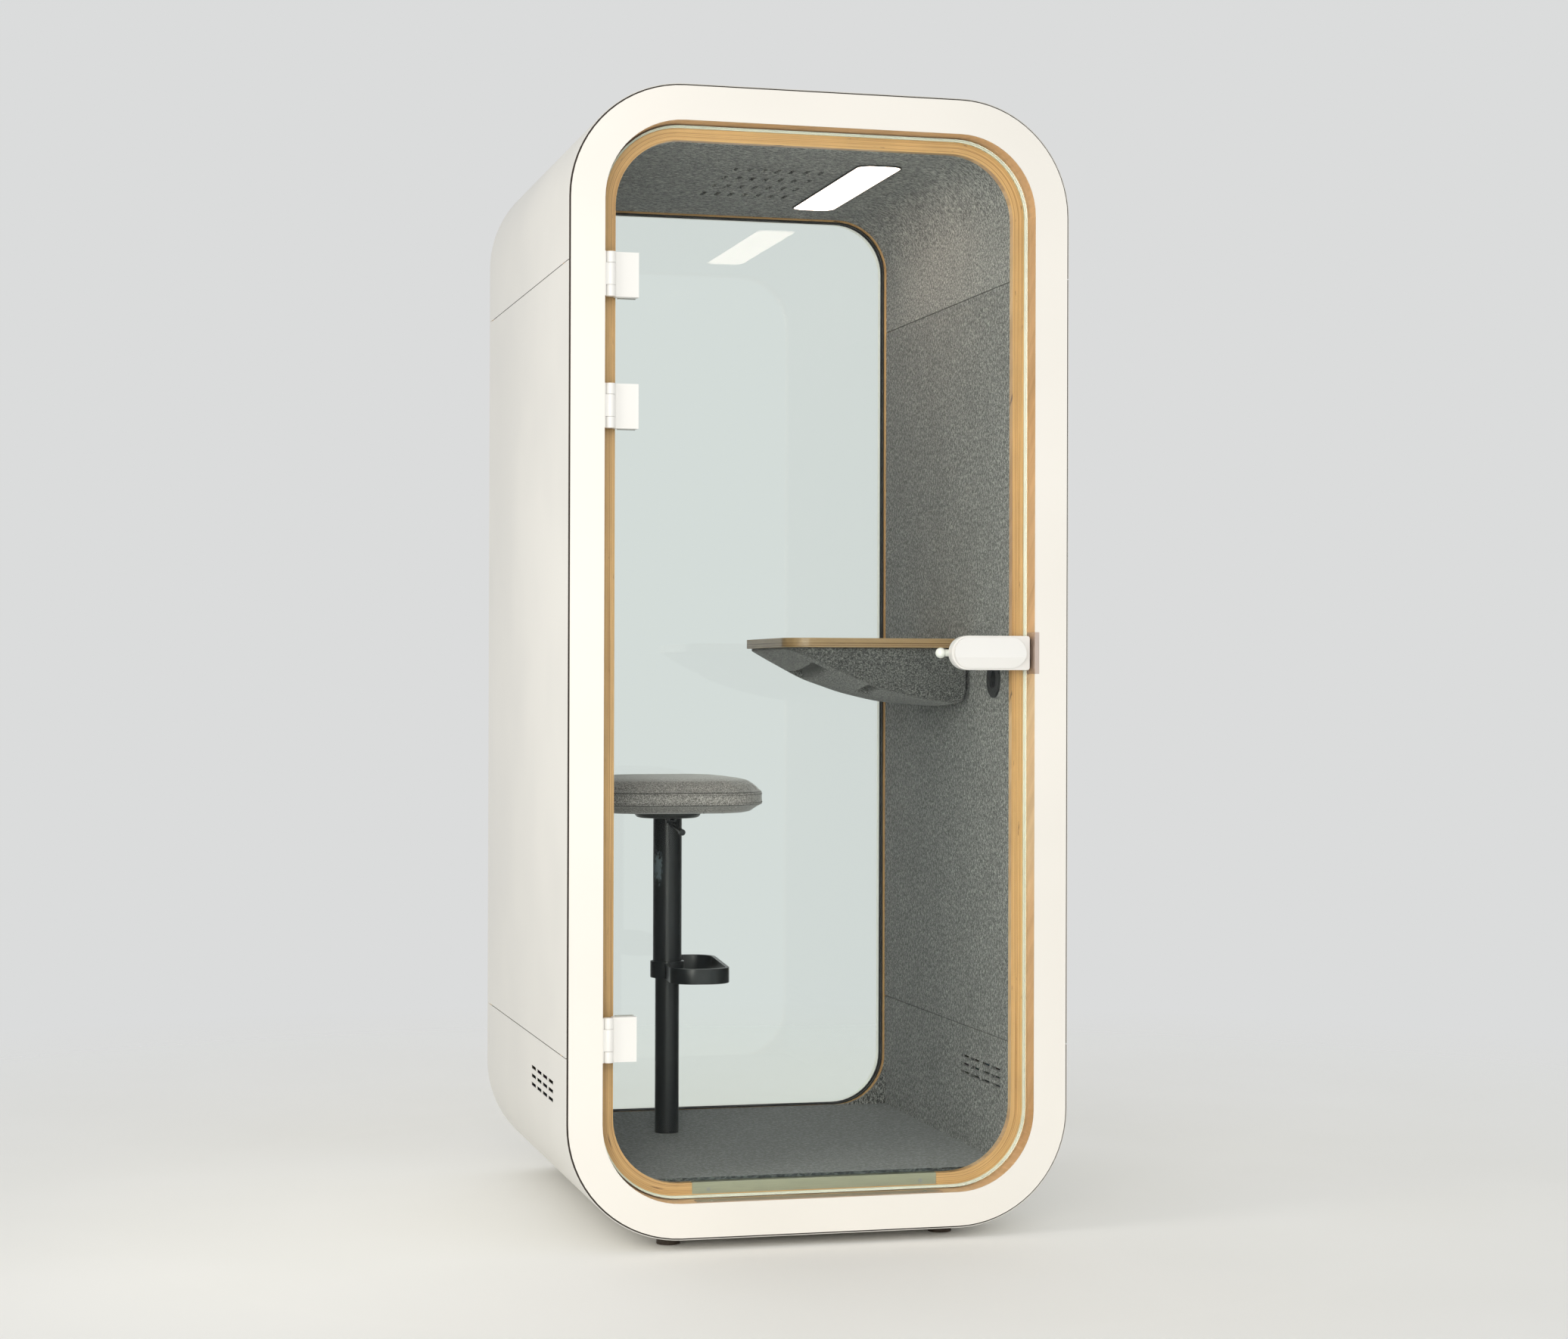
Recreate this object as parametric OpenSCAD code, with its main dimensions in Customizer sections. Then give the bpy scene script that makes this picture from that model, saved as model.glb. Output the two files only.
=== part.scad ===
// One-person acoustic phone booth: a sandwich-panel cabin with a glass door, a wall table and a
// height-adjustable stool. The door is on the -Y side, X runs to the right and Z up.
// The origin is on the floor, under the middle of the cabin.

/* [Cabin] */
// Outside width of the cabin
cabin_w = 1000; // [960:10:1300]
// Outside depth of the cabin
cabin_d = 1000; // [940:10:1300]
// Height of the cabin body above its feet
cabin_h = 2205; // [2000:5:2700]
// Height of the gap under the body
foot_h = 20; // [12:1:40]
// Outside corner radius of the body
corner_r = 225; // [190:5:240]
// Thickness of the sheet steel skin
skin_t = 1.5; // [1:0.1:3]
// Width of the open joint between two skin sheets
skin_joint = 2; // [1:0.5:4]
// Height of the upper joint, below the top of the body
upper_seam = 345; // [280:5:500]
// Height of the lower joint, above the underside of the body
lower_seam = 352; // [310:5:500]

/* [Front ring] */
// Width of the white ring round the door
ring_w = 70; // [60:1:90]
// Depth of the ring, front to back
ring_d = 54; // [52:1:90]
// Thickness of the white face sheet
face_t = 1.5; // [1:0.1:3]
// How far the ring stands in front of the skin
ring_proud = 4; // [2:0.5:8]
// Width of the shadow gap between the ring face and the skin
shadow_w = 3; // [1:0.5:6]
// Depth of the shadow gap
shadow_d = 10; // [7:0.5:20]

/* [Inner frame and lining] */
// Width that the inner frame shows inside the ring
sill_w = 30; // [26:1:60]
// Thickness of the inner frame
sill_d = 18; // [12:1:30]
// Thickness of the felt lining
felt_t = 9; // [6:1:15]
// Thickness of the floor board
board_t = 18; // [12:1:30]
// Thickness of the carpet
carpet_t = 12; // [9:1:16]
// How far the carpet stands above the sill
carpet_rise = 7; // [0:1:9]
// How far the ceiling felt lies above the inner frame
ceiling_rise = 7; // [0:1:15]
// Gap between two felt panels
felt_joint = 2; // [1:0.5:4]

/* [Rear window] */
// Depth of the rear frame and window, front to back
rear_d = 58; // [50:1:90]
// How far the wooden lip shows inside the lining
rear_lip = 3.5; // [3:0.5:12]
// Corner radius of the rear opening
rear_r = 113; // [80:1:125]
// Height of the rear opening's lower edge above the sill
rear_sill = 6.5; // [3:0.5:12]
// Thickness of the wooden lip
rear_lip_t = 6; // [4:1:10]
// Thickness of each gasket flange
gasket_t = 6; // [3:1:8]
// How far the gasket shows inside the lip
gasket_lip = 3; // [2:0.5:8]

/* [Door] */
// Thickness of the door and rear glass
glass_t = 12; // [8:1:13]
// Gap round the door glass
door_gap = 4; // [3:0.5:6]
// Distance from the front of the ring to the glass
glass_y = 36; // [34:1:40]
// Free space between the glass and the seal
seal_gap = 1.5; // [1.5:0.1:3]
// Width of the door seal
seal_w = 7; // [4:1:12]

/* [Hinges] */
// Height of the lower hinge above the underside of the body
hinge_low_z = 384; // [200:1:700]
// Distance from the top of the body to the top hinge
hinge_top_drop = 368; // [200:1:600]
// Distance between the two upper hinges
hinge_pair_gap = 250; // [125:1:500]
// Height of one hinge
hinge_h = 85; // [60:1:120]
// Height of the knuckle on the frame leaf
mid_knuckle_h = 42; // [20:1:50]
// Radius of a knuckle
knuckle_r = 9.5; // [8:0.1:9.8]
// Distance from the jamb to the hinge axis
hinge_x = 13; // [13:0.5:16]
// Distance from the front of the ring to the hinge axis
hinge_y = 12; // [11:0.5:14]
// Radius of the hinge pins
pin_r = 3; // [2:0.1:5]
// Width of the clamp plate
clamp_w = 45; // [36:1:70]
// Thickness of the frame leaf
leaf_t = 2.5; // [1.5:0.1:2.7]

/* [Handle and latch] */
// Height of the handle above the underside of the body
handle_z = 1122; // [900:1:1250]
// Length of the handle body
handle_l = 160; // [160:1:220]
// Height of the handle body
handle_h = 67; // [60:1:80]
// Distance from the ring opening to the lever spindle
spindle_x = 46; // [44:1:50]
// Radius of the lever spindle
spindle_r = 5; // [3:0.5:6]
// Distance from the handle's edge to the lever's edge
lever_inset = 3.5; // [2:0.5:8]
// Radius of the inner lever bar
inner_bar_r = 7; // [5:0.5:9]
// Radius of the knob on the inner lever
knob_r = 10.5; // [9:0.5:14]
// How far the middle of the knob stands out past the handle's end
knob_out = 4; // [0:1:12]
// Height of the latch bolt
bolt_h = 18; // [12:1:24]
// Thickness of the latch bolt
bolt_t = 8; // [5:1:9]
// Travel of the latch bolt
bolt_throw = 8; // [7:0.5:9]
// How far the closed bolt reaches past the jamb
bolt_reach = 4; // [3:0.5:5]
// Height of the strike plate
strike_h = 82; // [60:1:100]
// Width of the strike plate on the ring face
strike_w = 9; // [6:1:16]
// Thickness of the strike plate
strike_t = 1.5; // [1:0.1:2.5]

/* [Threshold plates] */
// Length of the threshold plates
plate_l = 490; // [300:5:520]
// Thickness of the threshold plates
plate_t = 1.2; // [0.8:0.1:2]
// Radius of the plate screw heads
screw_head_r = 4; // [3:0.5:5]
// Distance from a plate end to its screw
screw_inset = 32; // [15:1:60]

/* [Vents] */
// Length of one wall vent slot
slot_l = 54; // [40:1:60]
// Height of one wall vent slot
slot_h = 7; // [5:1:9]
// Distance between wall slot columns
slot_pitch = 67; // [66:1:80]
// Distance between wall slot rows
row_pitch = 17; // [14:1:20]
// Height of the lowest slot row above the underside of the body
vent_z = 250; // [230:1:270]
// Distance from the front to the first outer slot
outer_vent_y = 144; // [80:1:200]
// Distance from the front to the first inner slot
inner_vent_y = 120; // [80:1:200]
// Length of one ceiling slot
ceiling_slot_l = 40; // [30:1:50]
// Width of one ceiling slot
ceiling_slot_w = 9; // [6:1:12]
// Distance between ceiling slots across the ceiling
ceiling_pitch_x = 30; // [26:1:34]
// Distance between ceiling slot rows
ceiling_pitch_y = 99; // [90:1:105]
// Sideways place of the middle of the ceiling vents
ceiling_vent_x = 0; // [-40:1:10]
// Distance from the front to the middle of the ceiling vents
ceiling_vent_y = 519; // [430:1:540]

/* [Light] */
// Width of the light diffuser
light_w = 91; // [60:1:110]
// Length of the light diffuser
light_l = 563; // [300:1:600]
// Corner radius of the light diffuser
light_r = 28; // [10:1:29]
// Sideways place of the light
light_x = 187; // [170:1:200]
// Distance from the front to the middle of the light
light_y = 530; // [450:1:540]
// Height of the light housing
light_h = 38; // [25:1:60]
// Width of the dark edge round the diffuser
light_edge = 3; // [2:0.5:6]

/* [Fans] */
// Side length of one fan frame
fan_w = 120; // [100:1:140]
// Height of one fan frame
fan_h = 25; // [22:1:38]
// Radius of the fan hub
fan_hub_r = 20; // [15:1:25]
// Gap between the blade tips and the frame
fan_tip_gap = 2; // [1:0.5:4]
// Distance between the two fans
fan_pitch = 180; // [150:5:200]

/* [Power outlet] */
// Radius of the outlet plate
outlet_r = 37.5; // [30:0.5:45]
// Thickness of the outlet plate
outlet_t = 5; // [3:0.5:8]
// Distance from the front to the outlet
outlet_y = 161; // [140:1:200]
// Height of the outlet above the underside of the body
outlet_z = 1071; // [900:1:1300]

/* [Table] */
// Length of the table out from the wall
table_l = 395; // [300:5:450]
// Width of the table along the wall
table_w = 400; // [300:5:500]
// Thickness of the table top
table_t = 19; // [15:1:25]
// Corner radius of the table top
table_r = 55; // [20:1:90]
// Height of the table above the underside of the body
table_z = 1154; // [950:1:1250]
// Distance from the front to the near table edge
table_y = 300; // [280:1:330]
// Depth of the felt tray at the wall
tray_h = 123; // [90:1:150]
// Wall thickness of the felt tray
tray_t = 8; // [5:1:12]
// Thickness of the steel bracket
bracket_t = 8; // [5:1:10]

/* [Stool] */
// Sideways place of the stool post
stool_x = -170; // [-180:1:-150]
// Distance from the front to the stool post
stool_y = 640; // [600:1:680]
// Height of the seat above the carpet
seat_z = 763; // [740:1:800]
// Outside radius of the fixed column
column_r = 25.5; // [22:0.5:28]
// Wall thickness of the column
column_t = 3; // [2:0.5:4]
// Space for the slide bushes between the column and the sleeve
bush_t = 2.5; // [2:0.5:4]
// Wall thickness of the sleeve
sleeve_t = 2.5; // [1.5:0.5:3]
// Height of the sleeve's lower end above the carpet
sleeve_z = 336; // [320:1:360]
// Running clearance of the slides and pins
running_gap = 0.06; // [0.03:0.01:0.1]
// Seat travel upwards
seat_up = 80; // [0:5:80]
// Seat travel downwards
seat_down = 120; // [0:5:120]
// Width of the seat, side to side
seat_w = 380; // [340:1:400]
// Depth of the seat, front to back
seat_d = 380; // [320:1:400]
// Corner radius of the seat
seat_r = 130; // [80:1:150]
// Thickness of the seat cushion
cushion_h = 72; // [60:1:90]
// Thickness of the seat board
seat_board_t = 15; // [9:1:18]
// Radius of the steel plate under the seat
seat_plate_r = 66; // [50:1:80]
// Thickness of the steel plate under the seat
seat_plate_t = 14; // [6:1:16]

/* [Footrest] */
// Length of the footrest loop, along the booth
footrest_l = 330; // [250:1:360]
// Reach of the footrest loop, across the booth
footrest_w = 126; // [110:1:150]
// Corner radius of the footrest loop
footrest_r = 50; // [30:1:54]
// Thickness of the footrest bar
footrest_t = 8; // [5:1:10]
// Height of the footrest bar
footrest_h = 32; // [20:1:36]
// Turn of the footrest about the post
footrest_turn = -6; // [-20:1:20]
// Wall thickness of the footrest collar
collar_t = 5.5; // [4:0.5:8]

/* [Levelling feet] */
// Radius of a foot pad
pad_r = 23; // [15:1:30]
// Thickness of a foot pad
pad_t = 11; // [6:1:11]
// Radius of a foot screw
foot_screw_r = 6; // [4:0.5:8]
// Distance from the middle to the feet, sideways
foot_x = 274; // [200:1:280]
// Sideways offset of all the feet
foot_shift = -10; // [-12:1:12]
// Distance from the front and rear to the feet
foot_y = 87; // [70:1:120]

/* [Hidden] */
$fn = 96;

// Clearance that keeps soft pieces off what they touch
soft_gap = 0.3;
// Clearance between moving faces that don't touch
free_gap = 0.5;
// Length that a cut runs past the piece it cuts
over = 1;

// Distance behind the front plane, and height above the underside of the body
function fy(y) = y - cabin_d / 2;
function bz(z) = z + foot_h;

mid_z = bz(cabin_h / 2);
core_w = cabin_w - 2 * skin_t;
core_h = cabin_h - 2 * skin_t;
core_r = corner_r - skin_t;
face_inset = skin_t + shadow_w;
opening_w = cabin_w - 2 * ring_w;
opening_h = cabin_h - 2 * ring_w;
opening_r = corner_r - ring_w;
room_w = opening_w - 2 * sill_w;
room_h = opening_h - 2 * sill_w;
room_r = opening_r - sill_w + 5;
felt_w = room_w + 2 * felt_t;
room_front = fy(ring_d + sill_d);
room_back = fy(cabin_d - rear_d);
room_floor = bz(ring_w + sill_w);
carpet_top = room_floor + carpet_rise;
board_top = carpet_top - carpet_t;
board_bottom = board_top - board_t;
felt_floor = board_top;
lining_h = room_h + 2 * ceiling_rise;
lining_r = rear_r + 4;
room_ceiling = mid_z + lining_h / 2;
seam_top = bz(cabin_h - upper_seam);
seam_low = bz(lower_seam);
skin_front = fy(ring_proud);
skin_back = fy(cabin_d - ring_proud);
jamb_x = opening_w / 2;

glass_front = fy(glass_y);
glass_back = glass_front + glass_t;
door_w = opening_w - 2 * door_gap;
door_h = opening_h - 2 * door_gap;
door_r = opening_r - door_gap;

hinge_z = [hinge_low_z, cabin_h - hinge_top_drop - hinge_pair_gap, cabin_h - hinge_top_drop];
hinge_pos = [-jamb_x + hinge_x, fy(hinge_y)];
knuckle_neck = 14;
plate_x0 = hinge_pos[0] + knuckle_r + free_gap;
clamp_front = fy(hinge_y + 2);
clamp_bolt_r = 4;
clamp_x0 = -room_w / 2 + 3;
clamp_bolt_x = clamp_x0 + (plate_x0 + clamp_w - clamp_x0) / 2;
clamp_bolt_dz = hinge_h / 2 - 18;
clamp_t = 6;

spindle_pos = [jamb_x - spindle_x, bz(handle_z)];
handle_x1 = jamb_x - door_gap - 2;
handle_x0 = handle_x1 - handle_l;
handle_front = fy(14);
lever_front = fy(2);
lever_back = handle_front - free_gap;
inner_housing_x0 = handle_x0 + 8;
inner_housing_x1 = room_w / 2 - 4;
inner_housing_back = glass_back + 18;
inner_bar_y = inner_housing_back + inner_bar_r + 4;
bolt_y = (glass_front + glass_back) / 2;
bolt_x1 = jamb_x + bolt_reach;
bolt_x0 = spindle_pos[0] + spindle_r + bolt_throw + 6;
case_x0 = spindle_pos[0] - 24;
case_x1 = jamb_x - door_gap;
case_h = handle_h - 11;
lever_r = handle_h / 2 - lever_inset;
handle_corner = 5;
lever_ridge_drop = 9;
lever_top_slope = 5;
lever_low_slope = 8;
lever_hub_r = 12;
spindle_end = 4;

vent_rows = 3;
vent_columns = 4;
ceiling_rows = 4;
ceiling_columns = 7;
duct_margin = 8;

rear_glass_y0 = room_back + rear_lip_t + gasket_t;
rear_glass_y1 = rear_glass_y0 + glass_t;
rear_bead_y0 = rear_glass_y1 + gasket_t;
rear_z0 = room_floor + rear_sill;
rear_z1 = room_ceiling - rear_lip;
rear_open_w = room_w - 2 * rear_lip;
rear_open_h = rear_z1 - rear_z0;
rear_open_r = rear_r;
rear_mid_z = (rear_z0 + rear_z1) / 2;
corner_felt_r = rear_r - 1;
rear_pocket = 10;

lining_back = room_back - soft_gap;
fan_z0 = room_ceiling + felt_t + soft_gap;
plenum_w = (ceiling_columns - 1) * ceiling_pitch_x + 2 * (ceiling_slot_w + duct_margin);
plenum_l = fan_pitch + fan_w + 4 * duct_margin;

table_x0 = room_w / 2 - table_l;
table_top_z = bz(table_z);
table_bottom_z = table_top_z - table_t;
table_y0 = fy(table_y);
table_y1 = table_y0 + table_w;
tray_margin = 10;
tray_x0 = table_x0 + tray_margin;
tray_x1 = room_w / 2 - bracket_t - soft_gap;

tray_lip = 12;
tray_steps = 10;
tray_keel = [60, 110];
tray_belly = [45, 12];
tray_belly_share = 0.9;
bracket_low = 25;
bracket_inset = 60;
arm_w = 30;
arm_inset = 100;
arm_short = 70;

post = [stool_x, fy(stool_y)];
sleeve_r = column_r + bush_t + sleeve_t;
seat_top = room_floor + seat_z;
seat_bottom = seat_top - cushion_h;
seat_board_w = seat_w - 110;
seat_board_d = seat_d - 110;
seat_board_r = seat_r - 50;
// Each layer of the pad: its lower face, its height, how much narrower it is, and its corners
SEAT_LAYERS = [
    [seat_bottom, 2, 80, 35],
    [seat_bottom + 16, 26, 0, 0],
    [seat_top - 12, 5, 50, 20],
    [seat_top - 2, 2, 150, 60]];
plate_bottom = seat_bottom - seat_plate_t;
sleeve_bottom = room_floor + sleeve_z;
sleeve_top = plate_bottom - 2;
sleeve_in = sleeve_r - sleeve_t;
swivel_h = 36;
swivel_r = 14;
rod_r = 5;
rod_disc_t = 6;
rod_top = sleeve_top - swivel_h - free_gap;
column_top = rod_top - rod_disc_t - seat_down - 4;
bush_h = 22;
collar_h = footrest_h + 3;
gas_r = 14;
gas_wall = 3;
piston_h = 15;
piston_z = board_bottom + seat_down + 30;
base_t = 8;
base_r = 80;
lever_drop = 10;
lever_tilt = 5;
lever_eye_y = post[1] - sleeve_r - 10;
lever_rod_r = 4;
lever_tip_r = 6.5;
lever_tip_l = 14;
lever_pin_r = 2.5;
lever_eye_r = 6;
lever_l = 105;
lever_eye_w = 9;
ear_t = 4;

// A rounded rectangle drawn in X and Y, round the origin
module rounded(w, h, r) {
    square([w - 2 * r, h], center = true);
    square([w, h - 2 * r], center = true);
    for (sx = [-1, 1], sy = [-1, 1])
        translate([sx * (w / 2 - r), sy * (h / 2 - r)]) circle(r = r);
}

// Stands a drawing up in X and Z and makes it solid from y0 to y1
module upright(y0, y1, z = 0)
    translate([0, y1, z]) rotate([90, 0, 0]) linear_extrude(y1 - y0) children();

// A picture-frame ring round the middle of the cabin; the opening may sit off the middle
module frame_ring(y0, y1, outer, inner, inner_mid = mid_z)
    upright(y0, y1, mid_z) difference() {
        rounded(outer[0], outer[1], outer[2]);
        translate([0, inner_mid - mid_z]) rounded(inner[0], inner[1], inner[2]);
    }

module box(a, b) translate(a) cube(b - a);

module rod_y(r, y0, y1, at)
    translate([at[0], y0, at[1]]) rotate([-90, 0, 0]) cylinder(r = r, h = y1 - y0);

module rod_x(r, x0, x1, at)
    translate([x0, at[0], at[1]]) rotate([0, 90, 0]) cylinder(r = r, h = x1 - x0);

// ---- Front ring ----

module strike_cut(extra) {
    z = bz(handle_z);
    box([jamb_x - over, fy(-over), z - strike_h / 2 - extra],
        [jamb_x + strike_w + extra, fy(strike_t), z + strike_h / 2 + extra]);
    box([jamb_x - over, fy(-over), z - strike_h / 2 - extra],
        [jamb_x + strike_t, fy(ring_d - 4) + extra, z + strike_h / 2 + extra]);
}

module bolt_hole(x0, x1) {
    gap = 1;
    z = bz(handle_z);
    box([x0, bolt_y - bolt_t / 2 - gap, z - bolt_h / 2 - gap],
        [x1, bolt_y + bolt_t / 2 + gap, z + bolt_h / 2 + gap]);
}

module front_ring() color("burlywood") difference() {
    union() {
        frame_ring(fy(face_t), fy(shadow_d),
            [cabin_w - 2 * face_inset, cabin_h - 2 * face_inset, corner_r - face_inset],
            [opening_w, opening_h, opening_r]);
        frame_ring(fy(shadow_d), fy(ring_d), [core_w, core_h, core_r],
            [opening_w, opening_h, opening_r]);
    }
    strike_cut(0);
    bolt_hole(jamb_x, bolt_x1 + 5);
}

module ring_face() color("white") difference() {
    frame_ring(fy(0), fy(face_t),
        [cabin_w - 2 * face_inset, cabin_h - 2 * face_inset, corner_r - face_inset],
        [opening_w, opening_h, opening_r]);
    strike_cut(0);
}

module inner_frame() color("goldenrod")
    frame_ring(fy(ring_d), fy(ring_d + sill_d), [core_w, core_h, core_r], [room_w, room_h, room_r]);

module door_seal() color("gainsboro")
    frame_ring(glass_back + seal_gap, fy(ring_d) - soft_gap,
        [opening_w - 2 * soft_gap, opening_h - 2 * soft_gap, opening_r - soft_gap],
        [opening_w - 2 * seal_w, opening_h - 2 * seal_w, opening_r - seal_w]);

module strike_plate() color("silver") difference() {
    strike_cut(0);
    box([jamb_x - 2 * over, fy(-2 * over), bz(handle_z - strike_h)],
        [jamb_x, fy(ring_d), bz(handle_z + strike_h)]);
    box([jamb_x - 2 * over, fy(-2 * over), bz(handle_z - strike_h)],
        [jamb_x + 2 * strike_w, fy(0), bz(handle_z + strike_h)]);
    bolt_hole(jamb_x - over, bolt_x1 + 5);
}

// An angle plate over the front and top edges of the inner frame
module threshold_inner() color("darkseagreen") difference() {
    box([-plate_l / 2, fy(ring_d) - plate_t, room_floor - sill_w + seal_w + 2],
        [plate_l / 2, room_front - over, room_floor + plate_t]);
    box([-plate_l, fy(ring_d), bz(0)], [plate_l, room_front, room_floor]);
    for (sx = [-1, 1])
        rod_y(screw_head_r / 2, fy(0), fy(ring_d + over), inner_screw(sx));
}

module threshold_outer() color("silver") difference() {
    box([-plate_l / 2, fy(5), bz(ring_w)], [plate_l / 2, glass_front - 2, bz(ring_w) + plate_t]);
    for (sx = [-1, 1])
        translate([outer_screw_x(sx), outer_screw_y, bz(0)])
            cylinder(r = screw_head_r / 2, h = ring_w + 2 * plate_t);
}

screw_drop = 13;
function inner_screw(sx) = [sx * (plate_l / 2 - screw_inset), room_floor - screw_drop];
function outer_screw_x(sx) = sx * (plate_l / 2 - screw_inset);
outer_screw_y = fy(20);
screw_head_t = 1;

module threshold_screws() color("gray") for (sx = [-1, 1]) {
    rod_y(screw_head_r / 2, fy(ring_d) - plate_t - over / 2, fy(ring_d), inner_screw(sx));
    rod_y(screw_head_r, fy(ring_d) - plate_t - screw_head_t, fy(ring_d) - plate_t, inner_screw(sx));
    translate([outer_screw_x(sx), outer_screw_y, bz(ring_w)]) {
        cylinder(r = screw_head_r / 2, h = plate_t + screw_head_t / 2);
        translate([0, 0, plate_t]) cylinder(r = screw_head_r, h = screw_head_t);
    }
}

// ---- Outer skin ----

module skin_ring() frame_ring(skin_front, skin_back,
    [cabin_w, cabin_h, corner_r], [core_w, core_h, core_r]);

module keep_between(z0, z1) intersection() {
    children();
    box([-cabin_w, -cabin_d, z0], [cabin_w, cabin_d, z1]);
}

module wall_slots(x0, x1, first_y) for (c = [0:vent_columns - 1], r = [0:vent_rows - 1]) {
    y = fy(first_y) + c * slot_pitch;
    z = bz(vent_z) + r * row_pitch;
    box([x0, y, z], [x1, y + slot_l, z + slot_h]);
}

module roof_slots() for (k = [-2:2]) {
    x = ceiling_vent_x + k * ceiling_pitch_x;
    box([x, fy(ceiling_vent_y) - plenum_l / 2 + duct_margin, bz(cabin_h) - 3 * skin_t],
        [x + ceiling_slot_w, fy(ceiling_vent_y) + plenum_l / 2 - duct_margin, bz(cabin_h) + over]);
}

module roof_skin() color("white") difference() {
    keep_between(seam_top + skin_joint / 2, bz(cabin_h) + over) skin_ring();
    roof_slots();
}

module left_skin() color("whitesmoke") keep_between(seam_low + skin_joint / 2,
    seam_top - skin_joint / 2) intersection() {
        skin_ring();
        box([-cabin_w, -cabin_d, 0], [0, cabin_d, 2 * cabin_h]);
    }

module right_skin() color("whitesmoke") mirror([1, 0, 0]) left_skin();

module base_pan() color("white") difference() {
    keep_between(bz(-over), seam_low - skin_joint / 2) skin_ring();
    wall_slots(-cabin_w, cabin_w, outer_vent_y);
    foot_bores();
}

// ---- Insulated panels between the skin and the lining ----

module core_ring() frame_ring(fy(ring_d + sill_d), room_back, [core_w, core_h, core_r],
    [felt_w, lining_h + 2 * felt_t, lining_r + felt_t]);

module left_core() color("khaki") keep_between(seam_low, seam_top) intersection() {
    core_ring();
    box([-cabin_w, -cabin_d, 0], [0, cabin_d, 2 * cabin_h]);
}

module right_core() color("khaki") difference() {
    mirror([1, 0, 0]) left_core();
    outlet_bore(felt_w / 2 - over, felt_w / 2 + outlet_depth);
}

module roof_core() color("khaki") difference() {
    keep_between(seam_top, bz(cabin_h)) core_ring();
    translate([ceiling_vent_x, fy(ceiling_vent_y), fan_z0 - felt_t / 2]) linear_extrude(cabin_h)
        square([plenum_w, plenum_l], center = true);
    light_recess(0);
}

module base_core() color("khaki") difference() {
    keep_between(bz(0), seam_low) upright(room_front, room_back, mid_z)
        rounded(core_w, core_h, core_r);
    box([-felt_w / 2, room_front - over, board_bottom], [felt_w / 2, room_back + over, seam_low + over]);
    for (sx = [-1, 1])
        translate([sx * (felt_w + core_w) / 4, 0, 0]) vent_duct((core_w - felt_w) / 2 + 2 * over);
    translate([post[0], post[1], board_bottom - base_t]) cylinder(r = base_r, h = cabin_h);
    foot_bores();
}

// The air duct that joins the outer and inner wall slots
module vent_duct(w) {
    y0 = fy(min(inner_vent_y, outer_vent_y)) - duct_margin;
    y1 = fy(max(inner_vent_y, outer_vent_y)) + (vent_columns - 1) * slot_pitch + slot_l + duct_margin;
    z0 = bz(vent_z) - duct_margin;
    box([-w / 2, y0, z0], [w / 2, y1, z0 + (vent_rows - 1) * row_pitch + slot_h + 2 * duct_margin]);
}

// ---- Lining and floor ----

module felt_ring() frame_ring(room_front, lining_back,
    [felt_w, lining_h + 2 * felt_t, lining_r + felt_t], [room_w, lining_h, lining_r]);

module ceiling_slots() for (c = [0:ceiling_columns - 1], r = [0:ceiling_rows - 1]) {
    x = ceiling_vent_x + (c - (ceiling_columns - 1) / 2) * ceiling_pitch_x;
    y = fy(ceiling_vent_y) + (r - (ceiling_rows - 1) / 2) * ceiling_pitch_y;
    box([x - ceiling_slot_w / 2, y - ceiling_slot_l / 2, room_ceiling - over],
        [x + ceiling_slot_w / 2, y + ceiling_slot_l / 2, room_ceiling + felt_t + over]);
}

module light_recess(gap)
    translate([light_x, fy(light_y), room_ceiling - light_edge]) linear_extrude(light_h + gap)
        rounded(light_w + 2 * light_edge + 2 * gap, light_l + 2 * light_edge + 2 * gap,
            light_r + light_edge + gap);

module lining_top() color("dimgray") difference() {
    keep_between(seam_top + felt_joint / 2, bz(cabin_h)) felt_ring();
    ceiling_slots();
    light_recess(0);
}

module side_felt(z0, z1)
    box([-felt_w / 2, room_front, z0], [-room_w / 2, lining_back, z1]);

module lining_left() color("dimgray")
    side_felt(seam_low + felt_joint / 2, seam_top - felt_joint / 2);

module lining_right() color("dimgray") difference() {
    mirror([1, 0, 0]) lining_left();
    outlet_bore(room_w / 2 - over, felt_w / 2 + over);
}

module lining_left_low() color("dimgray") difference() {
    side_felt(felt_floor, seam_low - felt_joint / 2);
    wall_slots(-felt_w, 0, inner_vent_y);
}

module lining_right_low() color("dimgray") mirror([1, 0, 0]) lining_left_low();

// Felt pieces that fill the square lower corners in front of the round-cornered rear window
module rear_corner_felt() color("dimgray") difference() {
    box([-room_w / 2, lining_back - felt_t, board_top],
        [room_w / 2, lining_back, carpet_top + corner_felt_r]);
    upright(room_front, room_back, mid_z)
        rounded(room_w + free_gap, room_h - 2 * carpet_rise, corner_felt_r);
    box([-room_w / 2 + corner_felt_r, room_front, board_top - over],
        [room_w / 2 - corner_felt_r, room_back, carpet_top + corner_felt_r + over]);
}

module floor_board() color("peru") difference() {
    box([-felt_w / 2, room_front, board_bottom], [felt_w / 2, room_back, board_top]);
    translate([post[0], post[1], board_bottom - over]) cylinder(r = column_r, h = board_t + 2 * over);
}

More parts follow.
